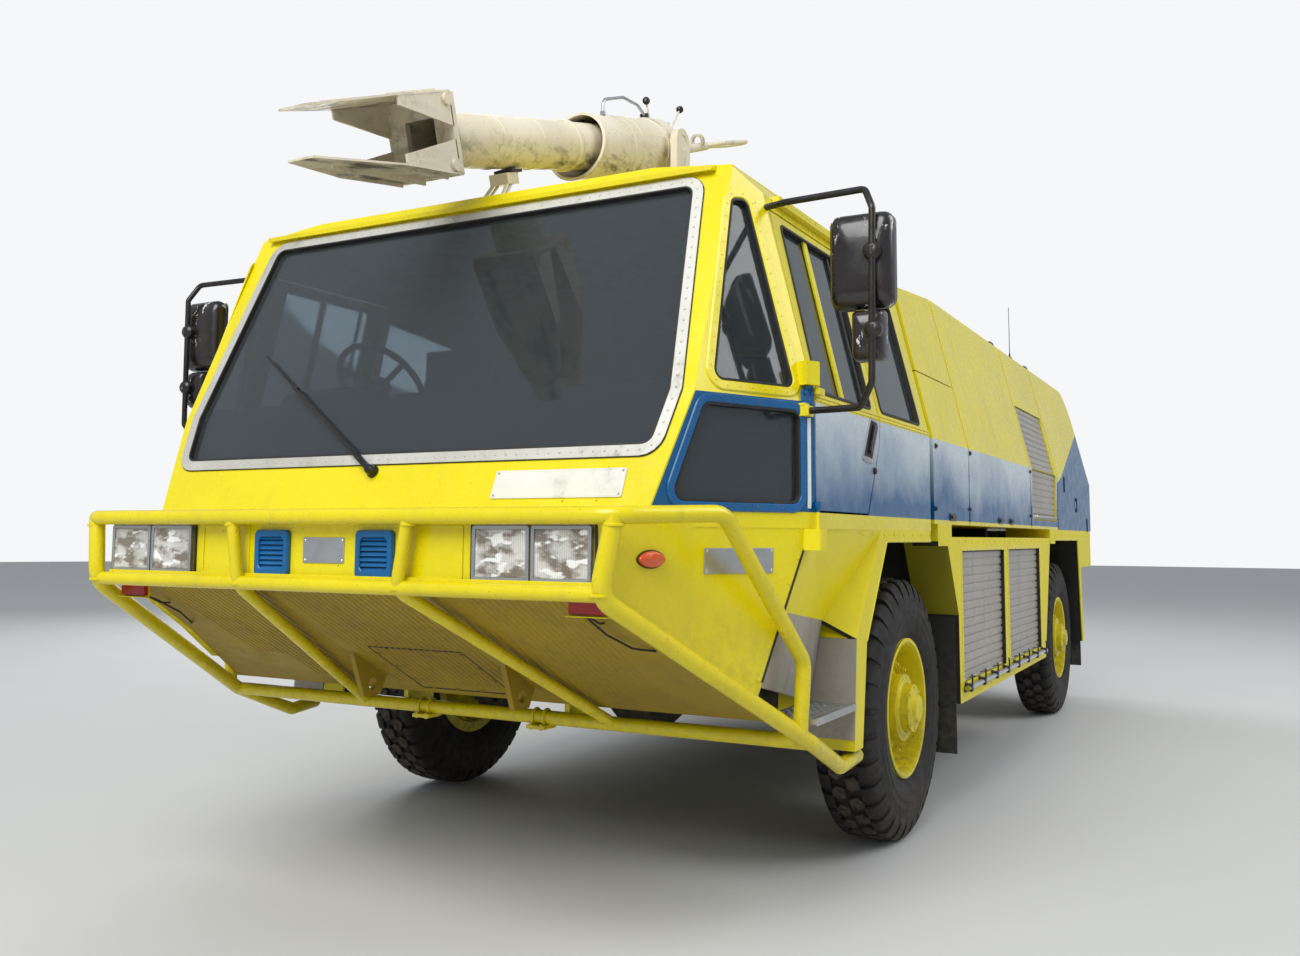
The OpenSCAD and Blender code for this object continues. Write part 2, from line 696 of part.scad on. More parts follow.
module shutters() {
  back = half_w - panel_t + seat;
  lean_at = function(z) side_x(z) - panel_t / cos(side_lean) + 2;
  color(silver) truck() both() {
    for (b = locker_bay) translate([0, b[1] - seat, 0]) rotate([90, 0, 0])
      linear_extrude(b[1] - b[0] - 2 * seat) polygon(concat(
        slats([half_w - 30, 1380 - seat], [half_w - 30, 660 + seat], 48, -9),
        [[half_w - 30, 660 + seat], [half_w - 40 + seat, 660 + seat], [half_w - 40 + seat, 1380 - seat]]));
    // upper shutter, bent at the belt line
    translate([0, 6540 - seat, 0]) rotate([90, 0, 0]) linear_extrude(1060 - 2 * seat) polygon(concat(
      slats([lean_at(2420 - seat) + 8, 2420 - seat], [back + 8, belt_z], 48, -9),
      slats([back + 8, belt_z], [back + 8, 1580 + seat], 48, -9),
      [[back + 8, 1580 + seat], [back, 1580 + seat], [back, belt_z], [lean_at(2420 - seat), 2420 - seat]]));
  }
}
hitch_z = 700;
hitch_d = 42;
module rear_bumper() {
  color(black) truck() {
    difference() {
      union() {
        block([-1200, body_end_y - 200, 640], [1200, bumper_back_y - 90, 760]);
        block([-90, body_end_y - 200, 650], [90, bumper_back_y, 750]);
      }
      // towing jaw with its pin hole
      block([-50, bumper_back_y - 90, hitch_z - 22], [50, bumper_back_y + 1, hitch_z + 22]);
      translate([0, bumper_back_y - 40, 600]) cylinder(d = hitch_d, h = 200);
    }
    for (x = [-rail_x, rail_x])
      block([x - 60, body_end_y - 300, 640], [x + 60, body_end_y - 180, rail_z]);
  }
}
module roof_fittings() {
  color(grey) truck() {
    translate([0, 4400, body_roof_z]) cylinder(d = 520, h = 50);
    translate([0, 4400, body_roof_z + 50]) cylinder(d = 460, h = 24);
    translate([1280, 6100, body_roof_z]) {
      cylinder(d = 60, h = 30);
      cylinder(d = 12, h = 430);
    }
    both() for (y = [5560, 6924]) translate([1240, y, body_roof_z]) {
      block([-60, -50, 0], [60, 50, 30]);
      translate([0, -30, 50]) rotate([-90, 0, 0]) cylinder(d = 50, h = 60);
    }
  }
}

// Chassis
rail_x = 430;
rail_h = 250;
rail_z = 860;
cross_y = [1300, 3400, 4800, 6200, 8200];
bearers = [[1500, band_z - floor_t], [2300, band_z - floor_t], [3100, body_z], [4300, body_z],
  [5500, body_z], [8160, body_z]];
module chassis() {
  color(black) truck() {
    difference() {
      both() block([rail_x - 40, 1060, rail_z], [rail_x + 40, body_end_y - 60, rail_z + rail_h]);
      both() block([rail_x - 80, 1059, rail_z + 12], [rail_x + 28, body_end_y - 59, rail_z + rail_h - 12]);
    }
    for (y = cross_y)
      block([-rail_x - 28, y, rail_z + 40], [rail_x + 28, y + 90, rail_z + rail_h - 40]);
    // bearers across the rails, [y, top], with uprights down to them
    for (b = bearers) {
      block([-1190, b[0], b[1] - 65.7], [1190, b[0] + 80, b[1]]);
      both() block([rail_x - 40, b[0], rail_z + rail_h - 1], [rail_x + 40, b[0] + 80, b[1] - 60]);
    }
  }
}
// Axle beam with its round differential case, the pinion nose towards +y or -y, and the springs
module axle(y, pinion) {
  end = kingpin_x - 130;
  spring_z = 110;
  translate([0, y, wheel_z]) {
    rotate([0, 90, 0]) rotate_extrude() polygon([[0, -end], [85, -end], [85, -260], [200, -120],
      [200, 120], [85, 260], [85, end], [0, end]]);
    rotate([-90 * pinion, 0, 0]) cylinder(d = 130, h = pinion_len);
  }
  both() translate([rail_x, y, wheel_z + spring_z]) {
    // seat on the beam, leaves, and the hangers under the rail
    block([-45, -90, -60], [45, 90, 0]);
    for (i = [0 : 3]) block([-38, -400 - i * 90, i * 20], [38, 400 + i * 90, i * 20 + 20]);
    for (s = [-1, 1]) block([-38, s * 650 - 30, 60], [38, s * 650 + 30, rail_z - wheel_z - spring_z]);
  }
}
pinion_len = 300;
fork_w = 50;
knuckle_h = 280;
pin_d = 56;
pin_len = 50;
module front_axle() {
  color(black) truck() {
    axle(front_axle_y, 1);
    both() translate([kingpin_x, front_axle_y, wheel_z]) {
      block([-140, -fork_w, -knuckle_h / 2 - 36], [-100, fork_w, knuckle_h / 2 + 36]);
      // fork arms with the kingpin stubs
      for (m = [0, 1]) mirror([0, 0, m]) {
        block([-140, -fork_w, knuckle_h / 2 + seat], [34, fork_w, knuckle_h / 2 + 36]);
        translate([0, 0, knuckle_h / 2 - pin_len]) cylinder(d = pin_d, h = pin_len + 10);
      }
    }
  }
}
module rear_axle() {
  color(black) truck() {
    axle(rear_axle_y, -1);
    both() translate([kingpin_x - 135, rear_axle_y, wheel_z]) rotate([0, 90, 0])
      cylinder(d = stub_d, h = stub_end - kingpin_x + 135);
  }
}
// The stub axle ends at this x, inside the hub
stub_end = tyre_x - 43;
module knuckle(s) {
  color(black) truck() mirror([s < 0 ? 1 : 0, 0, 0]) translate([kingpin_x, front_axle_y, wheel_z])
    difference() {
      union() {
        translate([0, 0, -knuckle_h / 2]) cylinder(r = knuckle_r, h = knuckle_h);
        rotate([0, 90, 0]) cylinder(d = stub_d, h = stub_end - kingpin_x);
      }
      for (m = [0, 1]) mirror([0, 0, m]) translate([0, 0, knuckle_h / 2 - pin_len - seat])
        cylinder(d = pin_d + 2 * play, h = pin_len + 1);
    }
}
module knuckle_left() { knuckle(1); }
module knuckle_right() { knuckle(-1); }
module drivetrain() {
  box_z = 780;
  shafts = [[front_axle_y + pinion_len + seat, 4300, 1], [rear_axle_y - pinion_len - seat, 4800 - seat, -1]];
  color(black) truck() {
    block([-260, 4300, 700], [260, 4800 - seat, 1060]);
    block([-120, 4420, 640], [120, 4680, 700]);
    // propeller shafts: [end at the axle, end at the gearbox, direction]
    for (p = shafts) {
      translate([0, p[0], wheel_z]) rotate([-90 * p[2], 0, 0]) cylinder(d = 120, h = 70);
      bar([0, p[0] + 60 * p[2], wheel_z], [0, p[1], box_z], 90);
    }
  }
}
module engine() {
  color(grey) truck() {
    block([-380, 6900, rail_z + rail_h], [380, 8100, body_z]);
    both() for (y = [7000, 7900]) block([370, y, rail_z + rail_h], [rail_x + 30, y + 100, rail_z + rail_h + 60]);
  }
}

// Wheels
// Half the width between the rim flanges
rim_w = 115;
module tyre(s, y) {
  r = tyre_d / 2;
  b = tyre_w / 2;
  t = tread_w / 2;
  bead = rim_d / 2 - 14;
  // half of the section as [radius, offset], from the bead out to the tread
  half = [[bead + seat, rim_w], [bead + 26, rim_w], [r - 190, b], [r - 90, b - 6], [r - 30, t + 6], [r, t - 14]];
  section = concat([for (p = half) [p[0], -p[1]]], [for (k = [len(half) - 1 : -1 : 0]) half[k]]);
  n = len(section);
  // flats lie at the stated radii, so one of them stands on the ground
  flats = 60;
  step = 360 / flats;
  points = [for (k = [0 : flats - 1]) for (p = section) let (out = p[0] / cos(step / 2), a = (k + 0.5) * step)
    [out * cos(a), out * sin(a), p[1]]];
  faces = [for (k = [0 : flats - 1]) for (i = [0 : n - 1]) let (next = (k + 1) % flats * n, j = (i + 1) % n)
    [k * n + i, k * n + j, next + j, next + i]];
  color(black) truck() translate([s * tyre_x, y, wheel_z]) rotate([0, 90, 0]) polyhedron(points, faces);
}
module rim(s, y) {
  bead = rim_d / 2 - 14;
  f = rim_w + seat;
  color(yellow) truck() translate([s * tyre_x, y, wheel_z]) rotate([0, s * 90, 0]) {
    difference() {
      rotate_extrude($fn = 96) polygon([[150, 20], [230, -20], [rim_d / 2 - 60, -60], [rim_d / 2 - 50, -f - 8],
        [rim_d / 2 + 4, -f - 8], [rim_d / 2 + 4, -f], [bead, -f], [bead, f], [rim_d / 2 + 4, f],
        [rim_d / 2 + 4, f + 8], [rim_d / 2 - 26, f + 8], [rim_d / 2 - 40, -20], [240, 20], [150, 60]]);
      for (a = [0 : 45 : 315]) rotate([0, 0, a]) translate([262, 0, -100]) cylinder(d = 44, h = 200);
    }
    // hub running on the stub axle, with its cover and studs
    difference() {
      translate([0, 0, -128]) cylinder(d = 320, h = 248);
      translate([0, 0, -129]) cylinder(d = stub_d + 2 * play, h = 90);
    }
    translate([0, 0, 120]) cylinder(d = 230, h = 40);
    for (a = [0 : 36 : 324]) rotate([0, 0, a]) translate([205, 0, 10]) cylinder(d = 32, h = 50);
  }
}
module tyre_front_left() { tyre(1, front_axle_y); }
module tyre_front_right() { tyre(-1, front_axle_y); }
module tyre_rear_left() { tyre(1, rear_axle_y); }
module tyre_rear_right() { tyre(-1, rear_axle_y); }
module rim_front_left() { rim(1, front_axle_y); }
module rim_front_right() { rim(-1, front_axle_y); }
module rim_rear_left() { rim(1, rear_axle_y); }
module rim_rear_right() { rim(-1, rear_axle_y); }

// Monitor
mount_top_z = 3180;
module monitor_mount() {
  rest_y = 1100;
  rest_z = pivot_z - (pivot_y - rest_y) * tan(barrel_dip) - barrel_d / 2 / cos(barrel_dip) - 24;
  color(cream) truck() {
    block([-170, pivot_y - 170, crown_z], [170, pivot_y + 170, crown_z + 25]);
    translate([0, pivot_y, crown_z]) cylinder(d = 240, h = mount_top_z - crown_z);
    translate([0, pivot_y, mount_top_z - 30]) cylinder(d = 320, h = 30);
    // rest for the parked barrel on the roof's front edge
    translate([0, rest_y, rest_z]) rotate([barrel_dip, 0, 0]) block([-50, -45, -50], [50, 45, 0]);
    both() {
      block([33, 980, crown_z], [77, 1045, crown_z + 14]);
      bar([55, 1000, crown_z + 7], [35, rest_y - 5, rest_z - 30], 16);
      bar([52, 1024, crown_z + 6], [34, rest_y + 28, rest_z - 24], 14);
    }
  }
}
module monitor_turret() {
  color(cream) truck() translate([0, pivot_y, 0]) {
    translate([0, 0, mount_top_z + seat]) cylinder(d = 320, h = 30);
    translate([0, 0, mount_top_z + 30]) cylinder(d = 220, h = 110);
    block([-236, -80, mount_top_z + 130], [236, 80, mount_top_z + 190]);
    both() difference() {
      union() {
        block([196, -80, mount_top_z + 130], [236, 80, pivot_z]);
        translate([196, 0, pivot_z]) rotate([0, 90, 0]) cylinder(d = 160, h = 40);
      }
      translate([180, 0, pivot_z]) rotate([0, 90, 0]) cylinder(d = trunnion_d + 2 * play, h = 80);
    }
  }
}
trunnion_d = 90;
// A lever along +z from the origin with a ball at its end
module lever(len, ball) {
  rotate_extrude() intersection() {
    union() {
      square([6, len]);
      translate([0, len]) circle(d = ball, $fn = 24);
    }
    translate([0, -1]) square([ball, len + ball]);
  }
}
// The barrel lies along -y in its own frame, with the tilting axis at the origin
module monitor_barrel() {
  sleeve_wall = 8;
  mouth_y = -772;
  mouth_rake = 21;
  jaw_close = 6;
  jaw_w = 170;
  lip = jaw_w + 1.5;
  color(cream) truck() translate([0, pivot_y, pivot_z]) rotate([barrel_dip, 0, 0]) {
    rotate([0, 90, 0]) cylinder(d = trunnion_d, h = 464, center = true);
    // sleeve with a slanted mouth, round the inner barrel
    difference() {
      rotate([90, 0, 0]) cylinder(d = sleeve_d, h = 860);
      rotate([90, 0, 0]) translate([0, 0, 300]) cylinder(d = sleeve_d - 2 * sleeve_wall, h = 600);
      translate([0, mouth_y, 0]) rotate([-mouth_rake, 0, 0])
        block([-400, -600, -600], [400, 0, 600]);
    }
    difference() {
      union() {
        rotate([90, 0, 0]) cylinder(d = barrel_d, h = barrel_len);
        block([-jaw_w, -barrel_len, -jaw_w], [jaw_w, -barrel_len + 30, jaw_w]);
      }
      rotate([90, 0, 0]) translate([0, 0, 400]) cylinder(d = barrel_d - 14, h = barrel_len);
    }
    // flange at the back of the sleeve, and the valve behind it
    rotate([-90, 0, 0]) translate([0, 0, -60]) cylinder(d = sleeve_d + 20, h = 140);
    block([-95, 70, -120], [95, 330, 110]);
    translate([0, 330, 0]) rotate([-90, 0, 0]) cylinder(d = 120, h = 70);
    // jaws: cheeks and tapering plates, above and below
    translate([0, -barrel_len, 0]) for (m = [0, 1]) mirror([0, 0, m]) {
      for (x = [-jaw_w, jaw_w - 10])
        across(x, x + 10, [[5, 25], [5, jaw_w - 2], [-320, jaw_w - 2 - 320 * tan(jaw_close)], [-320, 92]]);
      translate([0, 0, jaw_w]) rotate([jaw_close, 0, 0]) translate([0, 0, -8]) linear_extrude(8)
        polygon([[-lip, 4], [lip, 4], [lip, -330], [62, -jaw_len], [-62, -jaw_len], [-lip, -330]]);
    }
    // tiller with its loop, and two levers
    bar([0, 380, 0], [0, 820, 40], 56);
    tube_path([[12, 800, 40], [75, 930, 50], [75, tiller_len - 60, 66], [0, tiller_len, 68],
      [-75, tiller_len - 60, 66], [-75, 930, 50], [-12, 800, 40]], 28, 40);
    translate([0, 90, 100]) rotate([6, 0, 0]) lever(175, 46);
    translate([0, 300, 90]) rotate([-52, 0, 0]) lever(255, 46);
  }
}

chassis();
front_axle();
rear_axle();
drivetrain();
engine();
nose();
apron();
bull_bar();
lamps();
nose_grilles();
cab_shell();
cab_roof();
screen_frame();
cab_glass();
cab_floor();
dashboard();
seat_frames();
seat_pads();
wiper();
mirrors();
steps();
wings();
mudflaps();
body_core();
body_panels();
side_lockers();
shutters();
rear_bumper();
roof_fittings();
monitor_mount();
door_left();
door_right();
door_glass_left();
door_glass_right();
knuckle_left();
knuckle_right();
tyre_front_left();
tyre_front_right();
tyre_rear_left();
tyre_rear_right();
rim_front_left();
rim_front_right();
rim_rear_left();
rim_rear_right();
monitor_turret();
monitor_barrel();
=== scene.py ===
import math

import bmesh
import bpy
from mathutils import Matrix, Vector


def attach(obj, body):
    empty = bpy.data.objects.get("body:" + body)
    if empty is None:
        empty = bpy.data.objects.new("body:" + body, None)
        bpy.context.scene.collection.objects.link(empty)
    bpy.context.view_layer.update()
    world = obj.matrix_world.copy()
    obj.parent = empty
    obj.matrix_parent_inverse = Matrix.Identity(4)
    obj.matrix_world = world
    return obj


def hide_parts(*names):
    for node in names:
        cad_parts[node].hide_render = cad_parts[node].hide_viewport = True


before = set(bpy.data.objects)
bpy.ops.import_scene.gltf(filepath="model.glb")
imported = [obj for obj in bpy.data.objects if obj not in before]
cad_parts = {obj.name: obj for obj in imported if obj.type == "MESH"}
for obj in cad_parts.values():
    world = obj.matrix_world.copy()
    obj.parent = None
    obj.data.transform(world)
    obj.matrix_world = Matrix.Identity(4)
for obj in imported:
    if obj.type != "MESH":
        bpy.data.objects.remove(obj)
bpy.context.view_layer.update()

scene = bpy.context.scene

# Sizes in millimetres. In truck coordinates y runs back from the bull bar's top tube.
MID_Y = 4187.878
HALF_W = 1534
BELT_Z = 1955
BAND_Z = 1541
FACE_Y = 473
FACE_RAKE = 22.8
SIDE_LEAN = 13.5
CORNER_TURN = 25.1
HINGE_Y = 1002
CAB_ROOF_Z = 2785
BODY_ROOF_Z = 2840
BODY_END_Y = 8500
TYRE_X = 1305
TYRE_R = 624
AXLES = {"front": 2520, "rear": 7103}
LAMP_Z = 1390
LAMP_XS = (797, 1034, -797, -1034)
GRILLE_Z = 1380
BAR_FOOT = (1500, 1020, 691)
TREAD_Z = 780
MONITOR_Y = 2460
BARREL_DIP = 16
LOCKER_BAYS = ((3290, 4430), (4560, 5700))
SIDES = (("left", 1), ("right", -1))
TO_FRAME = Matrix.Scale(0.001, 4) @ Matrix.Translation((0, -MID_Y, 0))


def move(x, y, z):
    return Matrix.Translation((x, y, z))


def turn(axis, degrees):
    return Matrix.Rotation(math.radians(degrees), 4, axis)


# Places on the truck: x along the surface, y up it and z out of it
SIDEWAYS = turn("Z", 90) @ turn("X", 90)
FACE = move(0, FACE_Y, BELT_Z) @ turn("X", 90 - FACE_RAKE)
SIDE_UP = move(HALF_W, 0, BELT_Z) @ turn("Y", -SIDE_LEAN) @ SIDEWAYS
SIDE = move(HALF_W, 0, 0) @ SIDEWAYS
LAMP_PANEL = move(0, 45, 0) @ turn("X", 90)
NOSE_SIDE = move(1160, 45, BAND_Z) @ turn("Z", -16.58) @ turn("Y", 2) @ SIDEWAYS
REAR = move(0, BODY_END_Y, 0) @ turn("Z", 180) @ turn("X", 90)
MONITOR = move(0, MONITOR_Y, 3635) @ turn("X", BARREL_DIP)


def corner(lean, z=BELT_Z):
    """The corner panel between the face and the door, leaning in by an angle from a height up."""
    return move(HALF_W, HINGE_Y, z) @ turn("Z", -CORNER_TURN) @ turn("Y", -lean) @ SIDEWAYS


def side_x(z):
    return HALF_W - max(0, z - BELT_Z) * math.tan(math.radians(SIDE_LEAN))


def up_side(z):
    """Distance up the leaning side from the belt line to a height."""
    return (z - BELT_Z) / math.cos(math.radians(SIDE_LEAN))


def up_face(z):
    return (z - BELT_Z) / math.cos(math.radians(FACE_RAKE))


def arc_at(a, b, c, radius, steps):
    """Points of the rounded corner b between a and c, in the plane or in space."""
    a, b, c = (Vector(p).to_3d() for p in (a, b, c))
    u, v = (a - b).normalized(), (c - b).normalized()
    half = u.angle(v) / 2
    if half > math.radians(88.5):
        return [b]
    radius = min(radius, min((a - b).length, (c - b).length) * 0.49 * math.tan(half))
    middle = b + (u + v).normalized() * radius / math.sin(half)
    start, end = b + u * radius / math.tan(half), b + v * radius / math.tan(half)
    return [middle + (start - middle).normalized().slerp((end - middle).normalized(), i / steps) * radius
            for i in range(steps + 1)]


def rounded(points, radius, steps=6):
    n = len(points)
    made = []
    for i in range(n):
        made += arc_at(points[i - 1], points[i], points[(i + 1) % n], radius, steps)
    return [(p.x, p.y) for p in made]


def box_outline(half_w, half_h, radius=0, x=0, y=0, steps=6):
    corners = [(x + across * half_w, y + up * half_h) for across, up in ((-1, -1), (1, -1), (1, 1), (-1, 1))]
    return rounded(corners, radius, steps) if radius else corners


def angles(count):
    return [math.tau * i / count for i in range(count)]


def disc_outline(radius, x=0, y=0, sides=24):
    return [(x + radius * math.cos(a), y + radius * math.sin(a)) for a in angles(sides)]


def grown(outline, distance):
    """The outline moved outwards by a distance, with as many points."""
    n = len(outline)
    area = sum(outline[i - 1][0] * outline[i][1] - outline[i][0] * outline[i - 1][1] for i in range(n))
    side = 1 if area > 0 else -1
    made = []
    for i in range(n):
        p, q, r = (Vector(outline[j % n]) for j in (i - 1, i, i + 1))
        one, two = (q - p).normalized(), (r - q).normalized()
        n1, n2 = Vector((one.y, -one.x)) * side, Vector((two.y, -two.x)) * side
        out = (n1 + n2).normalized()
        made.append(tuple(q + out * distance / max(0.5, out.dot(n1))))
    return made


def flipped(p):
    """The point's mirror image on the other side of the truck."""
    return Vector((-p.x, p.y, p.z))


class Solid:
    """The closed shells of one piece, in truck coordinates."""

    def __init__(self, place=Matrix()):
        self.place, self.points, self.faces = place, [], []

    def put(self, points, faces, place=None):
        base = len(self.points)
        where = self.place if place is None else place
        self.points += [where @ Vector(p) for p in points]
        self.faces += [[base + i for i in f] for f in faces]
        return self

    def loft(self, rings, place=None, closed=False):
        """Skin over rings with equal numbers of points, capped unless the last meets the first."""
        n, m = len(rings[0]), len(rings)
        points = [p for ring in rings for p in ring]
        faces = []
        for a in range(m if closed else m - 1):
            b = (a + 1) % m
            faces += [[a * n + i, a * n + (i + 1) % n, b * n + (i + 1) % n, b * n + i] for i in range(n)]
        if not closed:
            faces += [list(range(n))[::-1], [(m - 1) * n + i for i in range(n)]]
        return self.put(points, faces, place)

    def prism(self, outline, z0, z1, place=None, edge=0):
        """Outline raised from z0 to z1, with its top edge cut back by edge."""
        rings = [[(x, y, z0) for x, y in outline]]
        if edge:
            rings.append([(x, y, z1 - edge) for x, y in outline])
        rings.append([(x, y, z1) for x, y in (grown(outline, -edge) if edge else outline)])
        return self.loft(rings, place)

    def block(self, low, high, place=None):
        return self.prism([(low[0], low[1]), (high[0], low[1]), (high[0], high[1]), (low[0], high[1])],
                          low[2], high[2], place)

    def band(self, outline, inner, outer, z0, z1, place=None):
        """Frame that follows an outline, from inner to outer of it."""
        one, two = grown(outline, inner), grown(outline, outer)
        lip = (outer - inner) * 0.12
        return self.loft([[(x, y, z) for x, y in ring] for ring, z in
                          ((one, z0), (two, z0), (two, z1 - lip), (grown(outline, outer - lip), z1),
                           (grown(outline, inner + lip), z1), (one, z1 - lip))], place, closed=True)

    def lathe(self, profile, place=None, sides=32, closed=False):
        """Profile of radius and height, turned round z."""
        rings = [[(r * math.cos(a), r * math.sin(a), z) for a in angles(sides)] for r, z in profile]
        return self.loft(rings, place, closed)

    def tube(self, path, radius, bend=0, sides=16, place=None, steps=8):
        """Round bar along a path, with bends of a radius; radius may be one number for each path point."""
        path = [Vector(p) for p in path]
        fat = radius if isinstance(radius, (list, tuple)) else [radius] * len(path)
        line, sizes = [path[0]], [fat[0]]
        for i in range(1, len(path) - 1):
            found = arc_at(path[i - 1], path[i], path[i + 1], bend, steps) if bend else [path[i]]
            line += found
            sizes += [fat[i]] * len(found)
        line.append(path[-1])
        sizes.append(fat[-1])
        way = [(line[min(i + 1, len(line) - 1)] - line[max(i - 1, 0)]).normalized() for i in range(len(line))]
        across = way[0].orthogonal().normalized()
        rings = []
        for p, w, s in zip(line, way, sizes):
            across = (across - w * across.dot(w)).normalized()
            other = w.cross(across)
            rings.append([p + (across * math.cos(a) + other * math.sin(a)) * s for a in angles(sides)])
        return self.loft(rings, place)

    def mirrored(self):
        """The solid with its mirror image on the other side."""
        n = len(self.points)
        self.points += [flipped(p) for p in self.points]
        self.faces += [[n + i for i in f[::-1]] for f in self.faces]
        return self

    def sided(self, flip):
        """The left side as it is, or its mirror image on the right."""
        if flip < 0:
            self.points = [flipped(p) for p in self.points]
            self.faces = [f[::-1] for f in self.faces]
        return self

    def mesh(self, name, to=TO_FRAME):
        mesh = bpy.data.meshes.new(name)
        mesh.from_pydata([to @ p for p in self.points], [], self.faces)
        return tidy_mesh(mesh)

    def make(self, name, finish, body="truck", soften=0.0, replaces=None, slot=None):
        obj = shown(name, self.mesh(name), finish)
        if soften:
            edge = obj.modifiers.new("worn_edges", "BEVEL")
            edge.width, edge.segments, edge.limit_method = soften / 1000, 2, "ANGLE"
            edge.angle_limit = math.radians(40)
        return settle(obj, finish, body, replaces, slot)


def tidy_mesh(mesh, smooth=38, merge=1e-6):
    work = bmesh.new()
    work.from_mesh(mesh)
    bmesh.ops.remove_doubles(work, verts=work.verts, dist=merge)
    bmesh.ops.dissolve_degenerate(work, edges=work.edges, dist=merge)
    bmesh.ops.recalc_face_normals(work, faces=work.faces)
    work.to_mesh(mesh)
    work.free()
    mesh.polygons.foreach_set("use_smooth", [True] * len(mesh.polygons))
    mesh.set_sharp_from_angle(angle=math.radians(smooth))
    return mesh


def shown(name, mesh, finish=None):
    obj = bpy.data.objects.new(name, mesh)
    scene.collection.objects.link(obj)
    if finish is not None:
        mesh.materials.clear()
        mesh.materials.append(finish)
    return obj


def settle(obj, finish, body="truck", replaces=None, slot=None):
    """Names the piece's body, looks up its slot without keeping it, and hides the solid that it stands for.
    """
    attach(obj, body)
    slot or SLOT_OF[finish.name]
    if replaces:
        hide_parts(replaces)
    return obj


# Trees that set out what repeats
def new_tree(name, inputs):
    tree = bpy.data.node_groups.new(name, "GeometryNodeTree")
    sockets = tree.interface
    sockets.new_socket(name="Geometry", in_out="INPUT", socket_type="NodeSocketGeometry")
    for label, kind in inputs:
        sockets.new_socket(name=label, in_out="INPUT", socket_type="NodeSocket" + kind)
    sockets.new_socket(name="Geometry", in_out="OUTPUT", socket_type="NodeSocketGeometry")
    return tree, tree.nodes.new("NodeGroupInput").outputs


def feed(tree, socket, value):
    if isinstance(value, bpy.types.NodeSocket):
        tree.links.new(value, socket)
    else:
        socket.default_value = value


def chain(tree, kind, settings=None, **inputs):
    """Adds a node, sets its settings and feeds its named inputs."""
    node = tree.nodes.new(kind)
    for key, value in (settings or {}).items():
        setattr(node, key, value)
    for key, value in inputs.items():
        feed(tree, node.inputs[key.replace("_", " ")], value)
    return node.outputs


def maths(tree, operation, *values):
    made = chain(tree, "ShaderNodeMath", {"operation": operation})[0]
    for socket, value in zip(made.node.inputs, values):
        feed(tree, socket, value)
    return made


def end_tree(tree, instances, finish):
    real = chain(tree, "GeometryNodeRealizeInstances", Geometry=instances)
    dressed = chain(tree, "GeometryNodeSetMaterial", Geometry=real[0], Material=finish)
    tree.links.new(dressed[0], tree.nodes.new("NodeGroupOutput").inputs[0])
    return tree


def row_tree():
    """Sets an item along lines at a spacing, standing on the surface that the lines lie on."""
    tree, given = new_tree("set_along_lines",
                           [("Item", "Object"), ("Spacing", "Float"), ("Finish", "Material")])
    line = chain(tree, "GeometryNodeMeshToCurve", Mesh=given["Geometry"])
    spread = chain(tree, "GeometryNodeResampleCurve", {"mode": "LENGTH"},
                   Curve=line[0], Length=given["Spacing"])
    item = chain(tree, "GeometryNodeObjectInfo", Object=given["Item"])
    facing = chain(tree, "GeometryNodeInputNamedAttribute", {"data_type": "FLOAT_VECTOR"}, Name="facing")
    along = chain(tree, "GeometryNodeInputTangent")
    stand = chain(tree, "FunctionNodeAlignRotationToVector", {"axis": "Z"}, Vector=facing["Attribute"])
    lie = chain(tree, "FunctionNodeAlignRotationToVector", {"axis": "X", "pivot_axis": "Z"},
                Rotation=stand[0], Vector=along[0])
    put = chain(tree, "GeometryNodeInstanceOnPoints",
                Points=spread[0], Instance=item["Geometry"], Rotation=lie[0])
    return end_tree(tree, put[0], given["Finish"])


def ring_tree():
    """Turns copies of an item round the z axis."""
    tree, given = new_tree("set_round_ring", [("Item", "Object"), ("Count", "Int"), ("Finish", "Material")])
    points = chain(tree, "GeometryNodeMeshLine", {"mode": "OFFSET"}, Count=given["Count"], Offset=(0, 0, 0))
    item = chain(tree, "GeometryNodeObjectInfo", Object=given["Item"])
    index = chain(tree, "GeometryNodeInputIndex")
    angle = maths(tree, "MULTIPLY", maths(tree, "DIVIDE", index[0], given["Count"]), math.tau)
    spin = chain(tree, "FunctionNodeAxisAngleToRotation", Axis=(0, 0, 1), Angle=angle)
    put = chain(tree, "GeometryNodeInstanceOnPoints",
                Points=points[0], Instance=item["Geometry"], Rotation=spin[0])
    return end_tree(tree, put[0], given["Finish"])


ALONG_LINES, ROUND_RING = row_tree(), ring_tree()


def grow(tree, source, finish, **values):
    """Evaluates a tree on a source mesh and returns the plain mesh."""
    carrier = bpy.data.objects.new("carrier", source)
    scene.collection.objects.link(carrier)
    step = carrier.modifiers.new("set_out", "NODES")
    step.node_group = tree
    values["Finish"] = finish
    for socket in tree.interface.items_tree:
        if socket.in_out == "INPUT" and socket.name in values:
            step[socket.identifier] = values[socket.name]
    bpy.context.view_layer.update()
    seen = bpy.context.evaluated_depsgraph_get()
    mesh = bpy.data.meshes.new_from_object(carrier.evaluated_get(seen))
    carrier.modifiers.remove(step)
    bpy.data.objects.remove(carrier)
    return mesh


ITEMS = {}


def item(name, solid):
    """Small shape that the trees repeat, in millimetres about its own origin."""
    if name not in ITEMS:
        ITEMS[name] = shown("item_" + name, solid.mesh("item_" + name, Matrix()))
    return ITEMS[name]


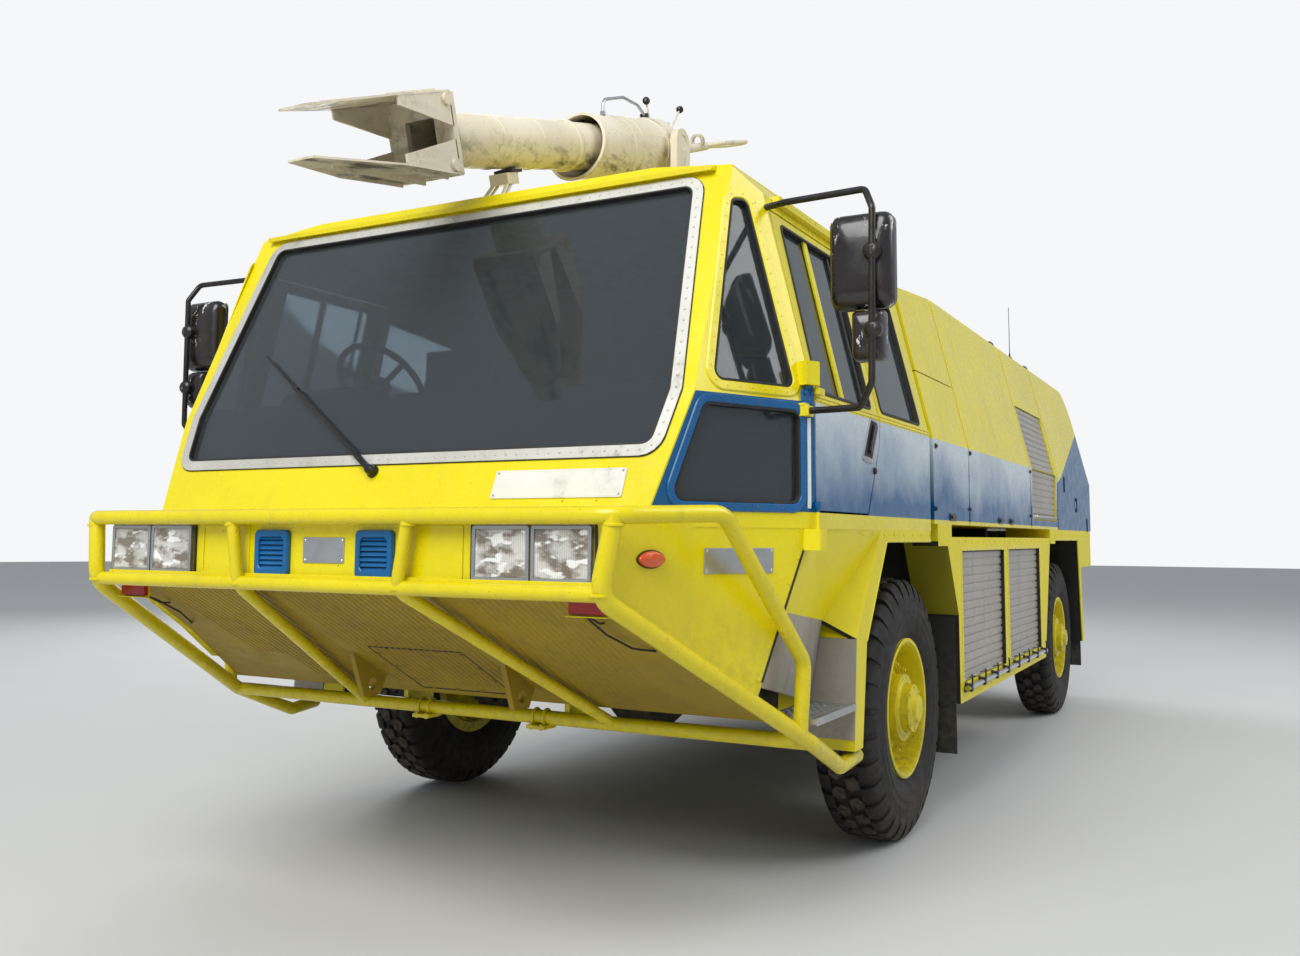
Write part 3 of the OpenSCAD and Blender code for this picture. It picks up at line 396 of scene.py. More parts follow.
class Lines:
    """Lines on surfaces, for an item to be set along."""

    def __init__(self):
        self.points, self.edges, self.facing = [], [], []

    def add(self, place, points, closed=False):
        out = (place.to_3x3() @ Vector((0, 0, 1))).normalized()
        base, n = len(self.points), len(points)
        self.points += [place @ Vector(p).to_3d() for p in points]
        self.facing += [out] * n
        self.edges += [(base + i, base + (i + 1) % n) for i in range(n if closed else n - 1)]
        return self

    def mirrored(self):
        base = len(self.points)
        self.points += [flipped(p) for p in self.points]
        self.facing += [flipped(f) for f in self.facing]
        self.edges += [(base + a, base + b) for a, b in self.edges]
        return self

    def sided(self, flip):
        if flip < 0:
            self.points = [flipped(p) for p in self.points]
            self.facing = [flipped(f) for f in self.facing]
        return self

    def make(self, name, shape, spacing, finish, body="truck", replaces=None):
        source = bpy.data.meshes.new("lines")
        source.from_pydata(self.points, self.edges, [])
        source.attributes.new("facing", "FLOAT_VECTOR", "POINT").data.foreach_set(
            "vector", [c for f in self.facing for c in f])
        mesh = grow(ALONG_LINES, source, finish, Item=shape, Spacing=float(spacing))
        mesh.transform(TO_FRAME)
        return settle(shown(name, tidy_mesh(mesh)), finish, body, replaces)


def ring_of(name, shape, count, place, finish, body="truck", replaces=None):
    """Copies of an item round the z axis of a place, as one piece."""
    mesh = grow(ROUND_RING, bpy.data.meshes.new(name), finish, Item=shape, Count=count)
    mesh.transform(TO_FRAME @ place)
    return settle(shown(name, tidy_mesh(mesh)), finish, body, replaces)


# Finishes: patterns read Object coordinates, in metres
def rgb(r, g, b):
    """A colour as the eye sees it, from 0 to 255, as the shader's linear numbers."""
    return tuple(c / 12.92 if c <= 0.04045 else ((c + 0.055) / 1.055) ** 2.4
                 for c in (r / 255, g / 255, b / 255)) + (1.0,)


class Finish:
    def __init__(self, name, colour, rough=0.5, metal=0.0, **sockets):
        self.material = bpy.data.materials.new(name)
        self.material.use_nodes = True
        self.tree = self.material.node_tree
        self.shader = self.tree.nodes["Principled BSDF"]
        self.place = self.node("ShaderNodeTexCoord")["Object"]
        self.colour = colour
        for key, value in {"Base Color": colour, "Roughness": rough, "Metallic": metal, **sockets}.items():
            self.shader.inputs[key].default_value = value

    def node(self, kind, settings=None, **inputs):
        return chain(self.tree, kind, settings, **inputs)

    def maths(self, operation, *values):
        return maths(self.tree, operation, *values)

    def both(self, *shares):
        """The product of the shares."""
        made = shares[0]
        for share in shares[1:]:
            made = self.maths("MULTIPLY", made, share)
        return made

    def noise(self, scale, detail=3.0, rough=0.55, stretch=(1, 1, 1)):
        where = self.place
        if stretch != (1, 1, 1):
            where = self.node("ShaderNodeMapping", Vector=self.place, Scale=stretch)[0]
        return self.node("ShaderNodeTexNoise", Vector=where, Scale=scale, Detail=detail,
                         Roughness=rough)["Fac"]

    def level(self, value, low, high, start=0.0, end=1.0):
        """Value taken from low..high to start..end, and held there."""
        return self.node("ShaderNodeMapRange", {"clamp": True}, Value=value, From_Min=low, From_Max=high,
                         To_Min=start, To_Max=end)[0]

    def xyz(self):
        return self.node("ShaderNodeSeparateXYZ", Vector=self.place)

    def normal(self):
        return self.node("ShaderNodeSeparateXYZ", Vector=self.node("ShaderNodeTexCoord")["Normal"])

    def facing_up(self):
        return self.normal()["Z"]

    def lay(self, share, colour):
        """Lays a colour over what is there, where share is 1."""
        made = self.node("ShaderNodeMix", {"data_type": "RGBA"})[2]
        for k, value in ((0, share), (6, self.colour), (7, colour)):
            feed(self.tree, made.node.inputs[k], value)
        self.colour = made
        self.tree.links.new(made, self.shader.inputs["Base Color"])
        return self

    def gloss(self, value):
        feed(self.tree, self.shader.inputs["Roughness"], value)
        return self

    def relief(self, height, strength, distance=0.002):
        bump = self.node("ShaderNodeBump", Strength=strength, Distance=distance, Height=height)
        self.tree.links.new(bump[0], self.shader.inputs["Normal"])
        return self


GRIME = rgb(88, 84, 58)
RUST = rgb(112, 58, 24)
YELLOW = rgb(228, 212, 4)
YELLOW_SHADE = rgb(210, 194, 6)
BLUE = rgb(0, 82, 130)


def weather(paint, rough, vary=None, grime=0.35, rust=0.0, chips=None, low=0.5, fine=60.0):
    """Patchy fading, runs of dirt, dirt low down, rust spots and chips."""
    z = paint.xyz()["Z"]
    if vary:
        paint.lay(paint.level(paint.noise(1.7, 3), 0.36, 0.70, 0.0, 0.5), vary)
    runs = paint.noise(9.0, 5, 0.6, (1.0, 1.0, 0.09))
    spots = paint.noise(26.0, 4, 0.65)
    dirty = paint.both(paint.level(runs, 0.52, 0.72), paint.level(spots, 0.35, 0.6), grime)
    paint.lay(dirty, GRIME)
    paint.lay(paint.both(paint.level(z, low + 0.55, low - 0.1), paint.level(spots, 0.36, 0.62), grime), GRIME)
    if rust:
        speck = paint.level(paint.noise(fine, 3, 0.6), 0.695, 0.73)
        paint.lay(paint.both(speck, paint.level(paint.noise(3.1, 2), 0.46, 0.6), rust), RUST)
    if chips:
        chip = paint.level(paint.noise(fine * 0.45, 4, 0.7), 0.70, 0.715)
        paint.lay(paint.both(chip, paint.level(paint.noise(2.3, 2), 0.48, 0.55)), chips)
    paint.gloss(paint.maths("ADD", paint.level(paint.noise(14.0, 4), 0.3, 0.7, rough - 0.07, rough + 0.10),
                            paint.both(dirty, 0.3)))
    return paint


def sprayed(name, colour, rough=0.3, metal=0.0, **kind):
    """Paint, metal or plastic with its grain."""
    grain, strength, coat = kind.pop("grain", 240.0), kind.pop("strength", 0.012), kind.pop("coat", 0.0)
    sockets = {"Coat Weight": coat} if coat else {}
    paint = weather(Finish(name, colour, rough, metal, **sockets), rough, **kind)
    return paint.relief(paint.noise(grain, 3, 0.6), strength).material


def livery():
    """Yellow with a blue band, paler towards its top in patches on the doors and the body, and a blue rear
    quarter.
    """
    paint = Finish("livery", YELLOW, 0.25, **{"Coat Weight": 0.12, "Coat Roughness": 0.08})
    x, y, z = (paint.xyz()[k] for k in "XYZ")
    back = paint.maths("ADD", y, MID_Y / 1000)
    paint.lay(paint.level(paint.noise(1.3, 3), 0.38, 0.72, 0.0, 0.5), YELLOW_SHADE)
    sharp, band_end, quarter_z = 0.0008, 6.612, 1.52
    line_y, line_z, line_slope = 6.725, 1.93, 0.29

    def above(value, edge):
        return paint.level(paint.maths("SUBTRACT", value, edge), -sharp, sharp)

    def below(value, edge):
        return paint.maths("SUBTRACT", 1.0, above(value, edge))

    slope = math.tan(math.radians(FACE_RAKE))
    face = paint.maths("MULTIPLY_ADD", z, slope, FACE_Y / 1000 + 0.006 - BELT_Z / 1000 * slope)
    wide = above(paint.maths("ABSOLUTE", x), 0.98)
    band = paint.both(above(z, BAND_Z / 1000), below(z, BELT_Z / 1000), above(back, face),
                      below(back, band_end), wide)
    rear_line = paint.maths("MULTIPLY_ADD", back, line_slope, line_z - line_y * line_slope)
    quarter = paint.both(above(z, quarter_z), below(z, rear_line), above(back, band_end))
    blue = paint.maths("MAXIMUM", band, quarter)
    paint.lay(blue, BLUE)
    # The blue band is laid paler towards its top, in patches, on the doors and the body.
    paler_tops = paint.level(paint.maths("ADD", paint.maths("MULTIPLY", paint.noise(2.2, 4), 0.5), z), 1.88, 2.20)
    pale = paint.both(blue, paler_tops, above(back, 1.0), below(back, band_end), 0.9)
    paint.lay(pale, rgb(204, 214, 218))
    runs = paint.noise(8.0, 5, 0.6, (1.0, 1.0, 0.07))
    paint.lay(paint.both(paint.level(runs, 0.56, 0.76), 0.14), GRIME)
    low = paint.both(paint.level(z, 1.25, 0.55), paint.level(paint.noise(24.0, 4, 0.65), 0.38, 0.62), 0.55)
    paint.lay(low, GRIME)
    top = paint.both(paint.level(paint.facing_up(), 0.9, 0.99), paint.level(paint.noise(7.0, 5), 0.36, 0.62),
                     0.35)
    paint.lay(top, rgb(112, 108, 40))
    speck = paint.both(paint.level(paint.noise(52.0, 3), 0.71, 0.74),
                       paint.level(paint.noise(2.4, 2), 0.5, 0.6))
    paint.lay(speck, RUST)
    paint.gloss(paint.level(paint.noise(11.0, 4), 0.3, 0.7, 0.17, 0.36))
    waves = paint.maths("ADD", paint.noise(2.6, 2), paint.maths("MULTIPLY", paint.noise(300.0, 2), 0.0015))
    return paint.relief(waves, 0.16, 0.01).material


def glass(name, colour, rough, film=0.15):
    pane = Finish(name, colour, rough, **{"Transmission Weight": 0.86, "IOR": 1.5})
    streaks = pane.noise(6.0, 5, 0.65, (1.0, 1.0, 0.3))
    pane.gloss(pane.level(streaks, 0.35, 0.8, rough, rough + film * 0.25))
    return pane.material


paint_livery = livery()
paint_yellow = sprayed("yellow_paint", YELLOW, 0.27, vary=YELLOW_SHADE, grime=0.14, rust=0.6, coat=0.1)
paint_tubes = sprayed("tube_yellow", rgb(222, 204, 4), 0.28, vary=rgb(204, 188, 10), grime=0.2, rust=1.0,
                      fine=85.0, coat=0.1, low=0.7)
# A darker copy of the yellow paint: painted shade for the apron, its ribs and studs, which stand in shade;
# the dirt and rust laid on it are its own.
paint_under_shaded = sprayed("underside_yellow_painted_shade", rgb(158, 132, 6), 0.6, vary=rgb(118, 92, 8), grime=0.4, rust=0.9,
                      low=0.5, strength=0.08)
paint_blue = sprayed("blue_paint", BLUE, 0.3, vary=rgb(30, 110, 180), grime=0.3, rust=0.2,
                     chips=rgb(150, 160, 170))
paint_rim = sprayed("rim_yellow", rgb(226, 208, 14), 0.36, vary=rgb(196, 180, 20), grime=0.4, rust=1.0,
                    low=0.4)
paint_cream = sprayed("cream_paint", rgb(222, 212, 190), 0.42, vary=rgb(200, 190, 160), grime=0.55, rust=0.7)
alloy = sprayed("alloy", rgb(190, 192, 194), 0.34, 0.9, vary=rgb(150, 152, 155), grime=0.35, strength=0.08)
screen_alloy = sprayed("screen_frame_alloy", rgb(205, 204, 196), 0.45, 0.45, vary=rgb(176, 174, 162),
                       grime=0.5, rust=0.4)
chrome = sprayed("chrome", rgb(222, 224, 226), 0.13, 1.0, grime=0.15, strength=0.02)
dark_iron = sprayed("underframe_black", rgb(34, 33, 32), 0.6, vary=rgb(58, 52, 46), grime=0.7, rust=0.6,
                    strength=0.2)
engine_iron = sprayed("engine_iron", rgb(92, 94, 92), 0.55, 0.4, vary=rgb(66, 62, 56), grime=0.8, rust=0.6)
black_gloss = sprayed("black_enamel", rgb(22, 20, 20), 0.28, vary=rgb(44, 34, 28), grime=0.25, rust=0.3,
                      chips=rgb(170, 172, 172), strength=0.04)
black_rubber = sprayed("black_rubber", rgb(26, 26, 27), 0.62, vary=rgb(40, 39, 38), grime=0.45, strength=0.15)
dash_grey = sprayed("dashboard_grey", rgb(74, 76, 78), 0.6, vary=rgb(60, 61, 63), grime=0.2, strength=0.25,
                    grain=520.0)
white_plate = sprayed("white_plate", rgb(228, 228, 222), 0.35, vary=rgb(206, 205, 196), grime=0.3)
grip_sheet = sprayed("grip_sheet", rgb(170, 164, 154), 0.55, 0.3, vary=rgb(134, 128, 118), grime=0.35,
                     strength=0.7, grain=420.0)
tinted = glass("tinted_glass", rgb(118, 128, 134), 0.03)


def fluted_lens():
    """Clear ribbed glass over a silvered bowl, drawn as one opaque face with painted reflections and
    highlights.
    """
    lens = Finish("clear_lens", rgb(214, 212, 206), 0.10, **{"Coat Weight": 1.0, "Coat Roughness": 0.04})
    x = lens.xyz()["X"]
    # Darker patches: painted reflections of the bowl in the glass.
    lens.lay(lens.level(lens.noise(11.0, 3, 0.6, (1.0, 1.0, 1.7)), 0.44, 0.58), rgb(132, 122, 110))
    # White patches: painted highlights.
    lens.lay(lens.level(lens.noise(19.0, 2, 0.5, (0.7, 1.0, 1.6)), 0.56, 0.62), rgb(252, 252, 250))
    # Dark stripes at the flutes' spacing: painted shade between the flutes.
    stripe = lens.maths("SINE", lens.maths("MULTIPLY", x, math.tau / 0.0085))
    lens.lay(lens.level(stripe, 0.2, 1.0, 0.0, 0.28), rgb(96, 92, 86))
    return lens.relief(lens.maths("ADD", stripe, lens.noise(24.0, 2)), 0.5, 0.002).material


lens_clear = fluted_lens()
# Finish of the headlamp bowls: a faint glow though the lamps are off, which is painted light, with darker
# patches laid on as painted reflections.
bright = Finish("reflector", rgb(240, 240, 238), 0.34, 0.55, **{"Emission Color": rgb(236, 236, 232),
                                                              "Emission Strength": 0.12})
bright = bright.lay(bright.level(bright.noise(14.0, 3), 0.48, 0.62, 0.0, 0.75), rgb(120, 110, 98)).material


def lens_colour(name, colour):
    lens = Finish(name, colour, 0.18, **{"Coat Weight": 0.6})
    darker = tuple(c * 0.55 for c in colour[:3]) + (1.0,)
    lens.lay(lens.level(lens.noise(40.0, 3), 0.42, 0.7, 0.0, 0.3), darker)
    cells = lens.node("ShaderNodeTexVoronoi", Vector=lens.place, Scale=190.0)["Distance"]
    return lens.relief(cells, 0.4, 0.001).material


lens_orange = lens_colour("orange_lens", rgb(232, 84, 22))
lens_red = lens_colour("red_lens", rgb(168, 20, 16))


def tyre_rubber():
    """Dusty low down, with the tops of the lugs rubbed paler."""
    rubber = Finish("tyre_rubber", rgb(24, 21, 20), 0.72)
    y, z = (rubber.xyz()[k] for k in "YZ")
    rubber.lay(rubber.level(rubber.noise(12.0, 5, 0.6), 0.42, 0.76, 0.0, 0.6), rgb(48, 40, 34))
    rubber.lay(rubber.both(rubber.level(z, 0.30, 0.0), rubber.level(rubber.noise(30.0, 4), 0.38, 0.68), 0.5),
               rgb(98, 86, 70))
    away = []
    for axle in AXLES.values():
        rise = rubber.maths("ADD", z, -TYRE_R / 1000)
        along = rubber.maths("ADD", y, (MID_Y - axle) / 1000)
        squares = rubber.maths("ADD", rubber.both(rise, rise), rubber.both(along, along))
        away.append(rubber.maths("SQRT", squares))
    lug_tops = rubber.level(rubber.maths("MINIMUM", *away), 0.6205, 0.6225)
    paler_tops = rubber.both(lug_tops, rubber.level(rubber.noise(38.0, 4), 0.34, 0.6), 0.75)
    rubber.lay(paler_tops, rgb(84, 72, 60))
    rubber.gloss(rubber.level(rubber.noise(20.0, 4), 0.3, 0.7, 0.6, 0.85))
    return rubber.relief(rubber.noise(210.0, 4, 0.7), 0.35).material


def woven_cloth():
    """Dark seat cloth in a plain weave, rubbed paler in places."""
    cloth = Finish("seat_cloth", rgb(46, 48, 54), 0.9, **{"Sheen Weight": 0.35, "Sheen Roughness": 0.4})
    weave = [cloth.maths("SINE", cloth.maths("MULTIPLY", cloth.xyz()[k], 1900.0)) for k in "XZ"]
    cloth.lay(cloth.level(cloth.noise(5.0, 4), 0.4, 0.7, 0.0, 0.5), rgb(70, 70, 74))
    return cloth.relief(cloth.both(*weave), 0.5, 0.0008).material


def monitor_cream():
    """Cream with green growth down the sides, and black runs underneath."""
    paint = Finish("monitor_cream", rgb(224, 214, 192), 0.42)
    paint.lay(paint.level(paint.noise(2.4, 5), 0.36, 0.66, 0.0, 0.6), rgb(206, 194, 166))
    growth = paint.both(paint.level(paint.noise(7.0, 6, 0.65), 0.50, 0.62),
                        paint.level(paint.noise(46.0, 4), 0.4, 0.6))
    side = paint.level(paint.facing_up(), 0.55, -0.35)
    paint.lay(paint.both(growth, side, 0.6), rgb(150, 142, 66))
    under = paint.level(paint.facing_up(), 0.1, -0.8)
    streaks = paint.level(paint.noise(16.0, 5, 0.65, (0.6, 0.25, 1.0)), 0.50, 0.64)
    paint.lay(paint.both(under, streaks, 0.85), rgb(48, 44, 34))
    paint.lay(paint.both(paint.level(paint.noise(70.0, 3), 0.68, 0.72), 0.8), RUST)
    paint.gloss(paint.level(paint.noise(18.0, 4), 0.3, 0.7, 0.36, 0.6))
    return paint.relief(paint.noise(180.0, 3), 0.12).material


def arch_paint():
    """Yellow outside, and black on the faces that turn inwards, downwards, forwards or backwards, low down
    between the body's ends.
    """
    paint = weather(Finish("arch_paint", YELLOW, 0.42), 0.42, YELLOW_SHADE, 0.1, 0.6)
    x, y, z = (paint.xyz()[k] for k in "XYZ")
    outward, along, up = paint.normal()
    inward = paint.both(paint.maths("SIGN", x), outward)
    hidden = paint.maths("MAXIMUM", paint.level(inward, -0.60, -0.66), paint.level(up, -0.60, -0.66))
    hidden = paint.maths("MAXIMUM", hidden, paint.level(paint.maths("ABSOLUTE", along), 0.8, 0.9))
    back = paint.maths("ADD", y, MID_Y / 1000)
    inside = paint.both(paint.level(z, 1.435, 1.43), paint.level(back, 1.44, 1.45),
                        paint.level(back, 8.3, 8.29))
    paint.lay(paint.both(hidden, inside), rgb(24, 23, 22))
    return paint.relief(paint.noise(240.0, 3, 0.6), 0.01).material


shutter_metal = sprayed("shutter_alloy", rgb(186, 180, 172), 0.40, 0.6, vary=rgb(164, 158, 148), grime=0.25)
wing_paint, tyre_black, seat_weave, cream_grown = arch_paint(), tyre_rubber(), woven_cloth(), monitor_cream()


def chipped_enamel():
    """Black enamel, flaked to pale streaks in places."""
    paint = weather(Finish("mirror_black", rgb(26, 22, 22), 0.24, **{"Coat Weight": 0.3}), 0.24,
                    rgb(42, 32, 28), 0.2)
    flakes = paint.level(paint.noise(34.0, 5, 0.72, (1.0, 1.0, 0.42)), 0.575, 0.59)
    place = paint.level(paint.noise(6.5, 2, 0.5, (1.6, 1.0, 0.5)), 0.52, 0.56)
    paint.lay(paint.both(flakes, place), rgb(214, 214, 212))
    return paint.relief(flakes, 0.2, 0.0006).material


mirror_black = chipped_enamel()
SLOT_FINISHES = {
    "yellow_paint": (paint_livery, paint_yellow, paint_tubes, paint_under_shaded, white_plate),
    "blue_paint": (paint_blue,),
    "yellow_rim": (paint_rim,),
    "cream_paint": (paint_cream, cream_grown),
    "alloy": (alloy, chrome, screen_alloy),
    "underframe": (dark_iron,),
    "lamp_glass": (lens_clear, bright, lens_orange, lens_red),
    "black_plastic": (black_gloss, black_rubber, mirror_black),
    "grey_plastic": (dash_grey,),
    "seat_cloth": (seat_weave,),
    "tyre": (tyre_black,),
}
SLOT_OF = {finish.name: slot for slot, finishes in SLOT_FINISHES.items() for finish in finishes}

CAD_FINISHES = {
    paint_livery: "cab_shell cab_roof nose door_left door_right body_core body_panels cab_floor",
    wing_paint: "wings side_lockers",
    paint_under_shaded: "apron",
    paint_rim: "rim_front_left rim_front_right rim_rear_left rim_rear_right",
    paint_cream: "monitor_mount monitor_turret",
    screen_alloy: "screen_frame",
    grip_sheet: "steps",
    shutter_metal: "shutters",
    tinted: "cab_glass door_glass_left door_glass_right",
    dark_iron: "chassis front_axle rear_axle drivetrain knuckle_left knuckle_right seat_frames rear_bumper",
    engine_iron: "engine",
    dash_grey: "dashboard",
    black_rubber: "mudflaps",
}
for finish, names in CAD_FINISHES.items():
    for name in names.split():
        for material_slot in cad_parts[name].material_slots:
            material_slot.material = finish


# Camera and light
EYE = (3015, -3028.06, 1447)


def camera():
    """The photographer's place and lens."""
    yaw, pitch, roll = (math.radians(a) for a in (28.515, 5.200, 0.317))
    ahead = Vector((-math.sin(yaw) * math.cos(pitch), math.cos(yaw) * math.cos(pitch), math.sin(pitch)))
    right = Vector((math.cos(yaw), math.sin(yaw), 0))
    up = right.cross(ahead)
    level, over = right * math.cos(roll) + up * math.sin(roll), up * math.cos(roll) - right * math.sin(roll)
    data = bpy.data.cameras.new("camera")
    data.lens, data.sensor_width, data.shift_y = 31.393, 36.0, -0.0342
    made = bpy.data.objects.new("camera", data)
    made.matrix_world = Matrix((level, over, -ahead)).transposed().to_4x4()
    made.location = TO_FRAME @ Vector(EYE)
    scene.collection.objects.link(made)
    scene.camera = made


def soft_lamp(name, place, target, size, power):
    data = bpy.data.lights.new(name, "AREA")
    data.shape, data.size, data.energy = "DISK", size, power
    lamp = bpy.data.objects.new(name, data)
    lamp.location = place
    lamp.rotation_mode = "QUATERNION"
    lamp.rotation_quaternion = (Vector(target) - Vector(place)).to_track_quat("-Z", "Y")
    scene.collection.objects.link(lamp)


def pale_world():
    """White behind the object and through its glass, with softer light on it."""
    world = bpy.data.worlds.new("studio")
    world.use_nodes = True
    tree = world.node_tree
    tree.nodes.clear()
    rays = chain(tree, "ShaderNodeLightPath")
    seen = maths(tree, "MAXIMUM", rays["Is Camera Ray"], rays["Is Transmission Ray"])
    shine = chain(tree, "ShaderNodeBackground", Color=rgb(232, 238, 246), Strength=0.56)
    white = chain(tree, "ShaderNodeBackground", Color=rgb(246, 247, 248))
    mix = chain(tree, "ShaderNodeMixShader")[0]
    for socket, value in zip(mix.node.inputs, (seen, shine[0], white[0])):
        feed(tree, socket, value)
    tree.links.new(mix, tree.nodes.new("ShaderNodeOutputWorld").inputs[0])
    scene.world = world


def pale_floor():
    floor = Finish("pale_floor", rgb(200, 200, 198), 0.85)
    floor.lay(floor.level(floor.noise(0.6, 4), 0.3, 0.7, 0.0, 0.25), rgb(190, 190, 188))
    bm = bmesh.new()
    bmesh.ops.create_circle(bm, cap_ends=True, segments=96, radius=60)
    mesh = bpy.data.meshes.new("floor")
    bm.to_mesh(mesh)
    bm.free()
    made = shown("floor", mesh, floor.material)
    made.location.z = -0.002


camera()
pale_world()
pale_floor()
soft_lamp("sky_front", (1, -12, 10), (0, -1, 1.2), 9, 1450)
soft_lamp("sky_left", (11, 3, 10), (0, 0, 1.2), 9, 720)
soft_lamp("sky_back", (-9, 9, 8), (0, 0, 1.2), 9, 900)
scene.view_settings.view_transform = "Standard"


# Small shapes that repeat
def small(kind, *sizes):
    """Rivet, bolt or screw of a head radius, and of a height for a bolt."""
    key = "_".join([kind] + [str(s).replace(".", "_") for s in sizes])
    if key in ITEMS:
        return ITEMS[key]
    s = Solid()
    if kind == "rivet":
        r = sizes[0]
        s.lathe([(0, -0.4), (r, -0.4), (r * 0.88, r * 0.32), (r * 0.5, r * 0.58), (0, r * 0.66)], sides=8)
    elif kind == "bolt":
        r, h = sizes
        s.prism(disc_outline(r * 1.45, sides=12), -0.4, h * 0.22)
        s.prism(disc_outline(r, sides=6), h * 0.22, h, edge=r * 0.14)
    elif kind == "screw":
        r = sizes[0]
        s.lathe([(0, -0.3), (r, -0.3), (r, r * 0.25), (r * 0.6, r * 0.55), (0, r * 0.5)], sides=10)
    return item(key, s)


def hex_bolt(flange, flange_h, head, head_h, x, z):
    """Six-sided flanged bolt head at x from a ring's axis and at a height z."""
    return Solid().lathe([(0, 0), (flange, 0), (flange, flange_h), (head, flange_h + 1), (head, head_h),
                          (0, head_h + 1)], move(x, 0, z), 6)


# Wheels
LUG_PITCHES = 34


def wheel_place(side, axle):
    """Axle line outwards as z, at the wheel's middle."""
    return move(side * TYRE_X, AXLES[axle], TYRE_R) @ turn("Y", 90 * side)


def tyre_lug_items():
    """One pitch of the tread: a six-sided block each side, and the lugs down both shoulders."""
    lugs = Solid()
    half_pitch = 180 / LUG_PITCHES
    hexagon = [(-4, -30), (36, -44), (62, -14), (62, 20), (24, 40), (-4, 22)]
    for flip, shift in ((1, 0.0), (-1, half_pitch)):
        outline = [(flip * (x + 8), y) for x, y in hexagon]
        lugs.loft([[(r, y, x) for x, y in o] for r, o in
                   ((600, outline), (618, outline), (TYRE_R, grown(outline, -4)))], turn("Z", shift))
        side = [(68, 600), (68, 621), (74, TYRE_R - 1), (106, 621), (119, 612), (132, 594), (146, 556),
                (150, 520), (144, 518), (138, 556), (124, 586), (112, 598)]
        lugs.loft([[(r - 3, w, flip * x) for x, r in side] for w in (-38, -34, 34, 38)],
                  turn("Z", shift + half_pitch))
    return item("tread_lugs", lugs)


def tyre_carcass(place):
    """The tyre's round body, from bead to bead."""
    bead = 316
    half = [(bead, 118), (bead + 22, 121), (bead + 44, 132), (bead + 56, 143), (430, 151), (436, 154),
            (444, 151), (470, 153), (478, 156), (486, 153), (530, 148), (560, 138), (586, 124), (600, 106),
            (607, 60), (609, 0)]
    return Solid().lathe(half + [(r, -z) for r, z in half[-2::-1]], place, sides=72, closed=True)


def wheels():
    """Round tyres with their treads, wheel nuts, hub covers with cap bolts, and valves."""
    lugs = tyre_lug_items()
    nut = item("wheel_nut", Solid().lathe(
        [(0, 0), (20, 0), (20, 4), (15, 5), (15, 22), (9, 23), (9, 32), (0, 34)], move(205, 0, 60), 6))
    cap_bolt = item("hub_cap_bolt", hex_bolt(12, 3, 8, 12, 98, 160))
    for axle in AXLES:
        for word, side in SIDES:
            body, place, tyre = f"wheel_{axle}_{word}", wheel_place(side, axle), f"tyre_{axle}_{word}"
            tyre_carcass(place).make(f"{tyre}_carcass", tyre_black, body, replaces=tyre)
            ring_of(f"{tyre}_tread", lugs, LUG_PITCHES, place, tyre_black, body, replaces=tyre)
            ring_of(f"wheel_nuts_{axle}_{word}", nut, 10, place, paint_rim, body)
            ring_of(f"hub_cap_bolts_{axle}_{word}", cap_bolt, 8, place, paint_rim, body)
            hub = Solid(place)
            hub.lathe([(112, 160), (112, 166), (84, 170), (70, 176), (62, 192), (40, 197), (0, 198)][::-1]
                      + [(0, 160)], sides=40)
            hub.lathe([(118, 112), (130, 114), (138, 121), (130, 128), (118, 130)], sides=40, closed=True)
            hub.lathe([(322, 120), (332, 126), (334, 133), (326, 137), (314, 134), (312, 124)], sides=64,
                      closed=True)
            hub.tube([(300, 22, 60), (306, 24, 110), (310, 25, 128)], 5, 20, 8)
            hub.make(f"hub_cover_{axle}_{word}", paint_rim, body)


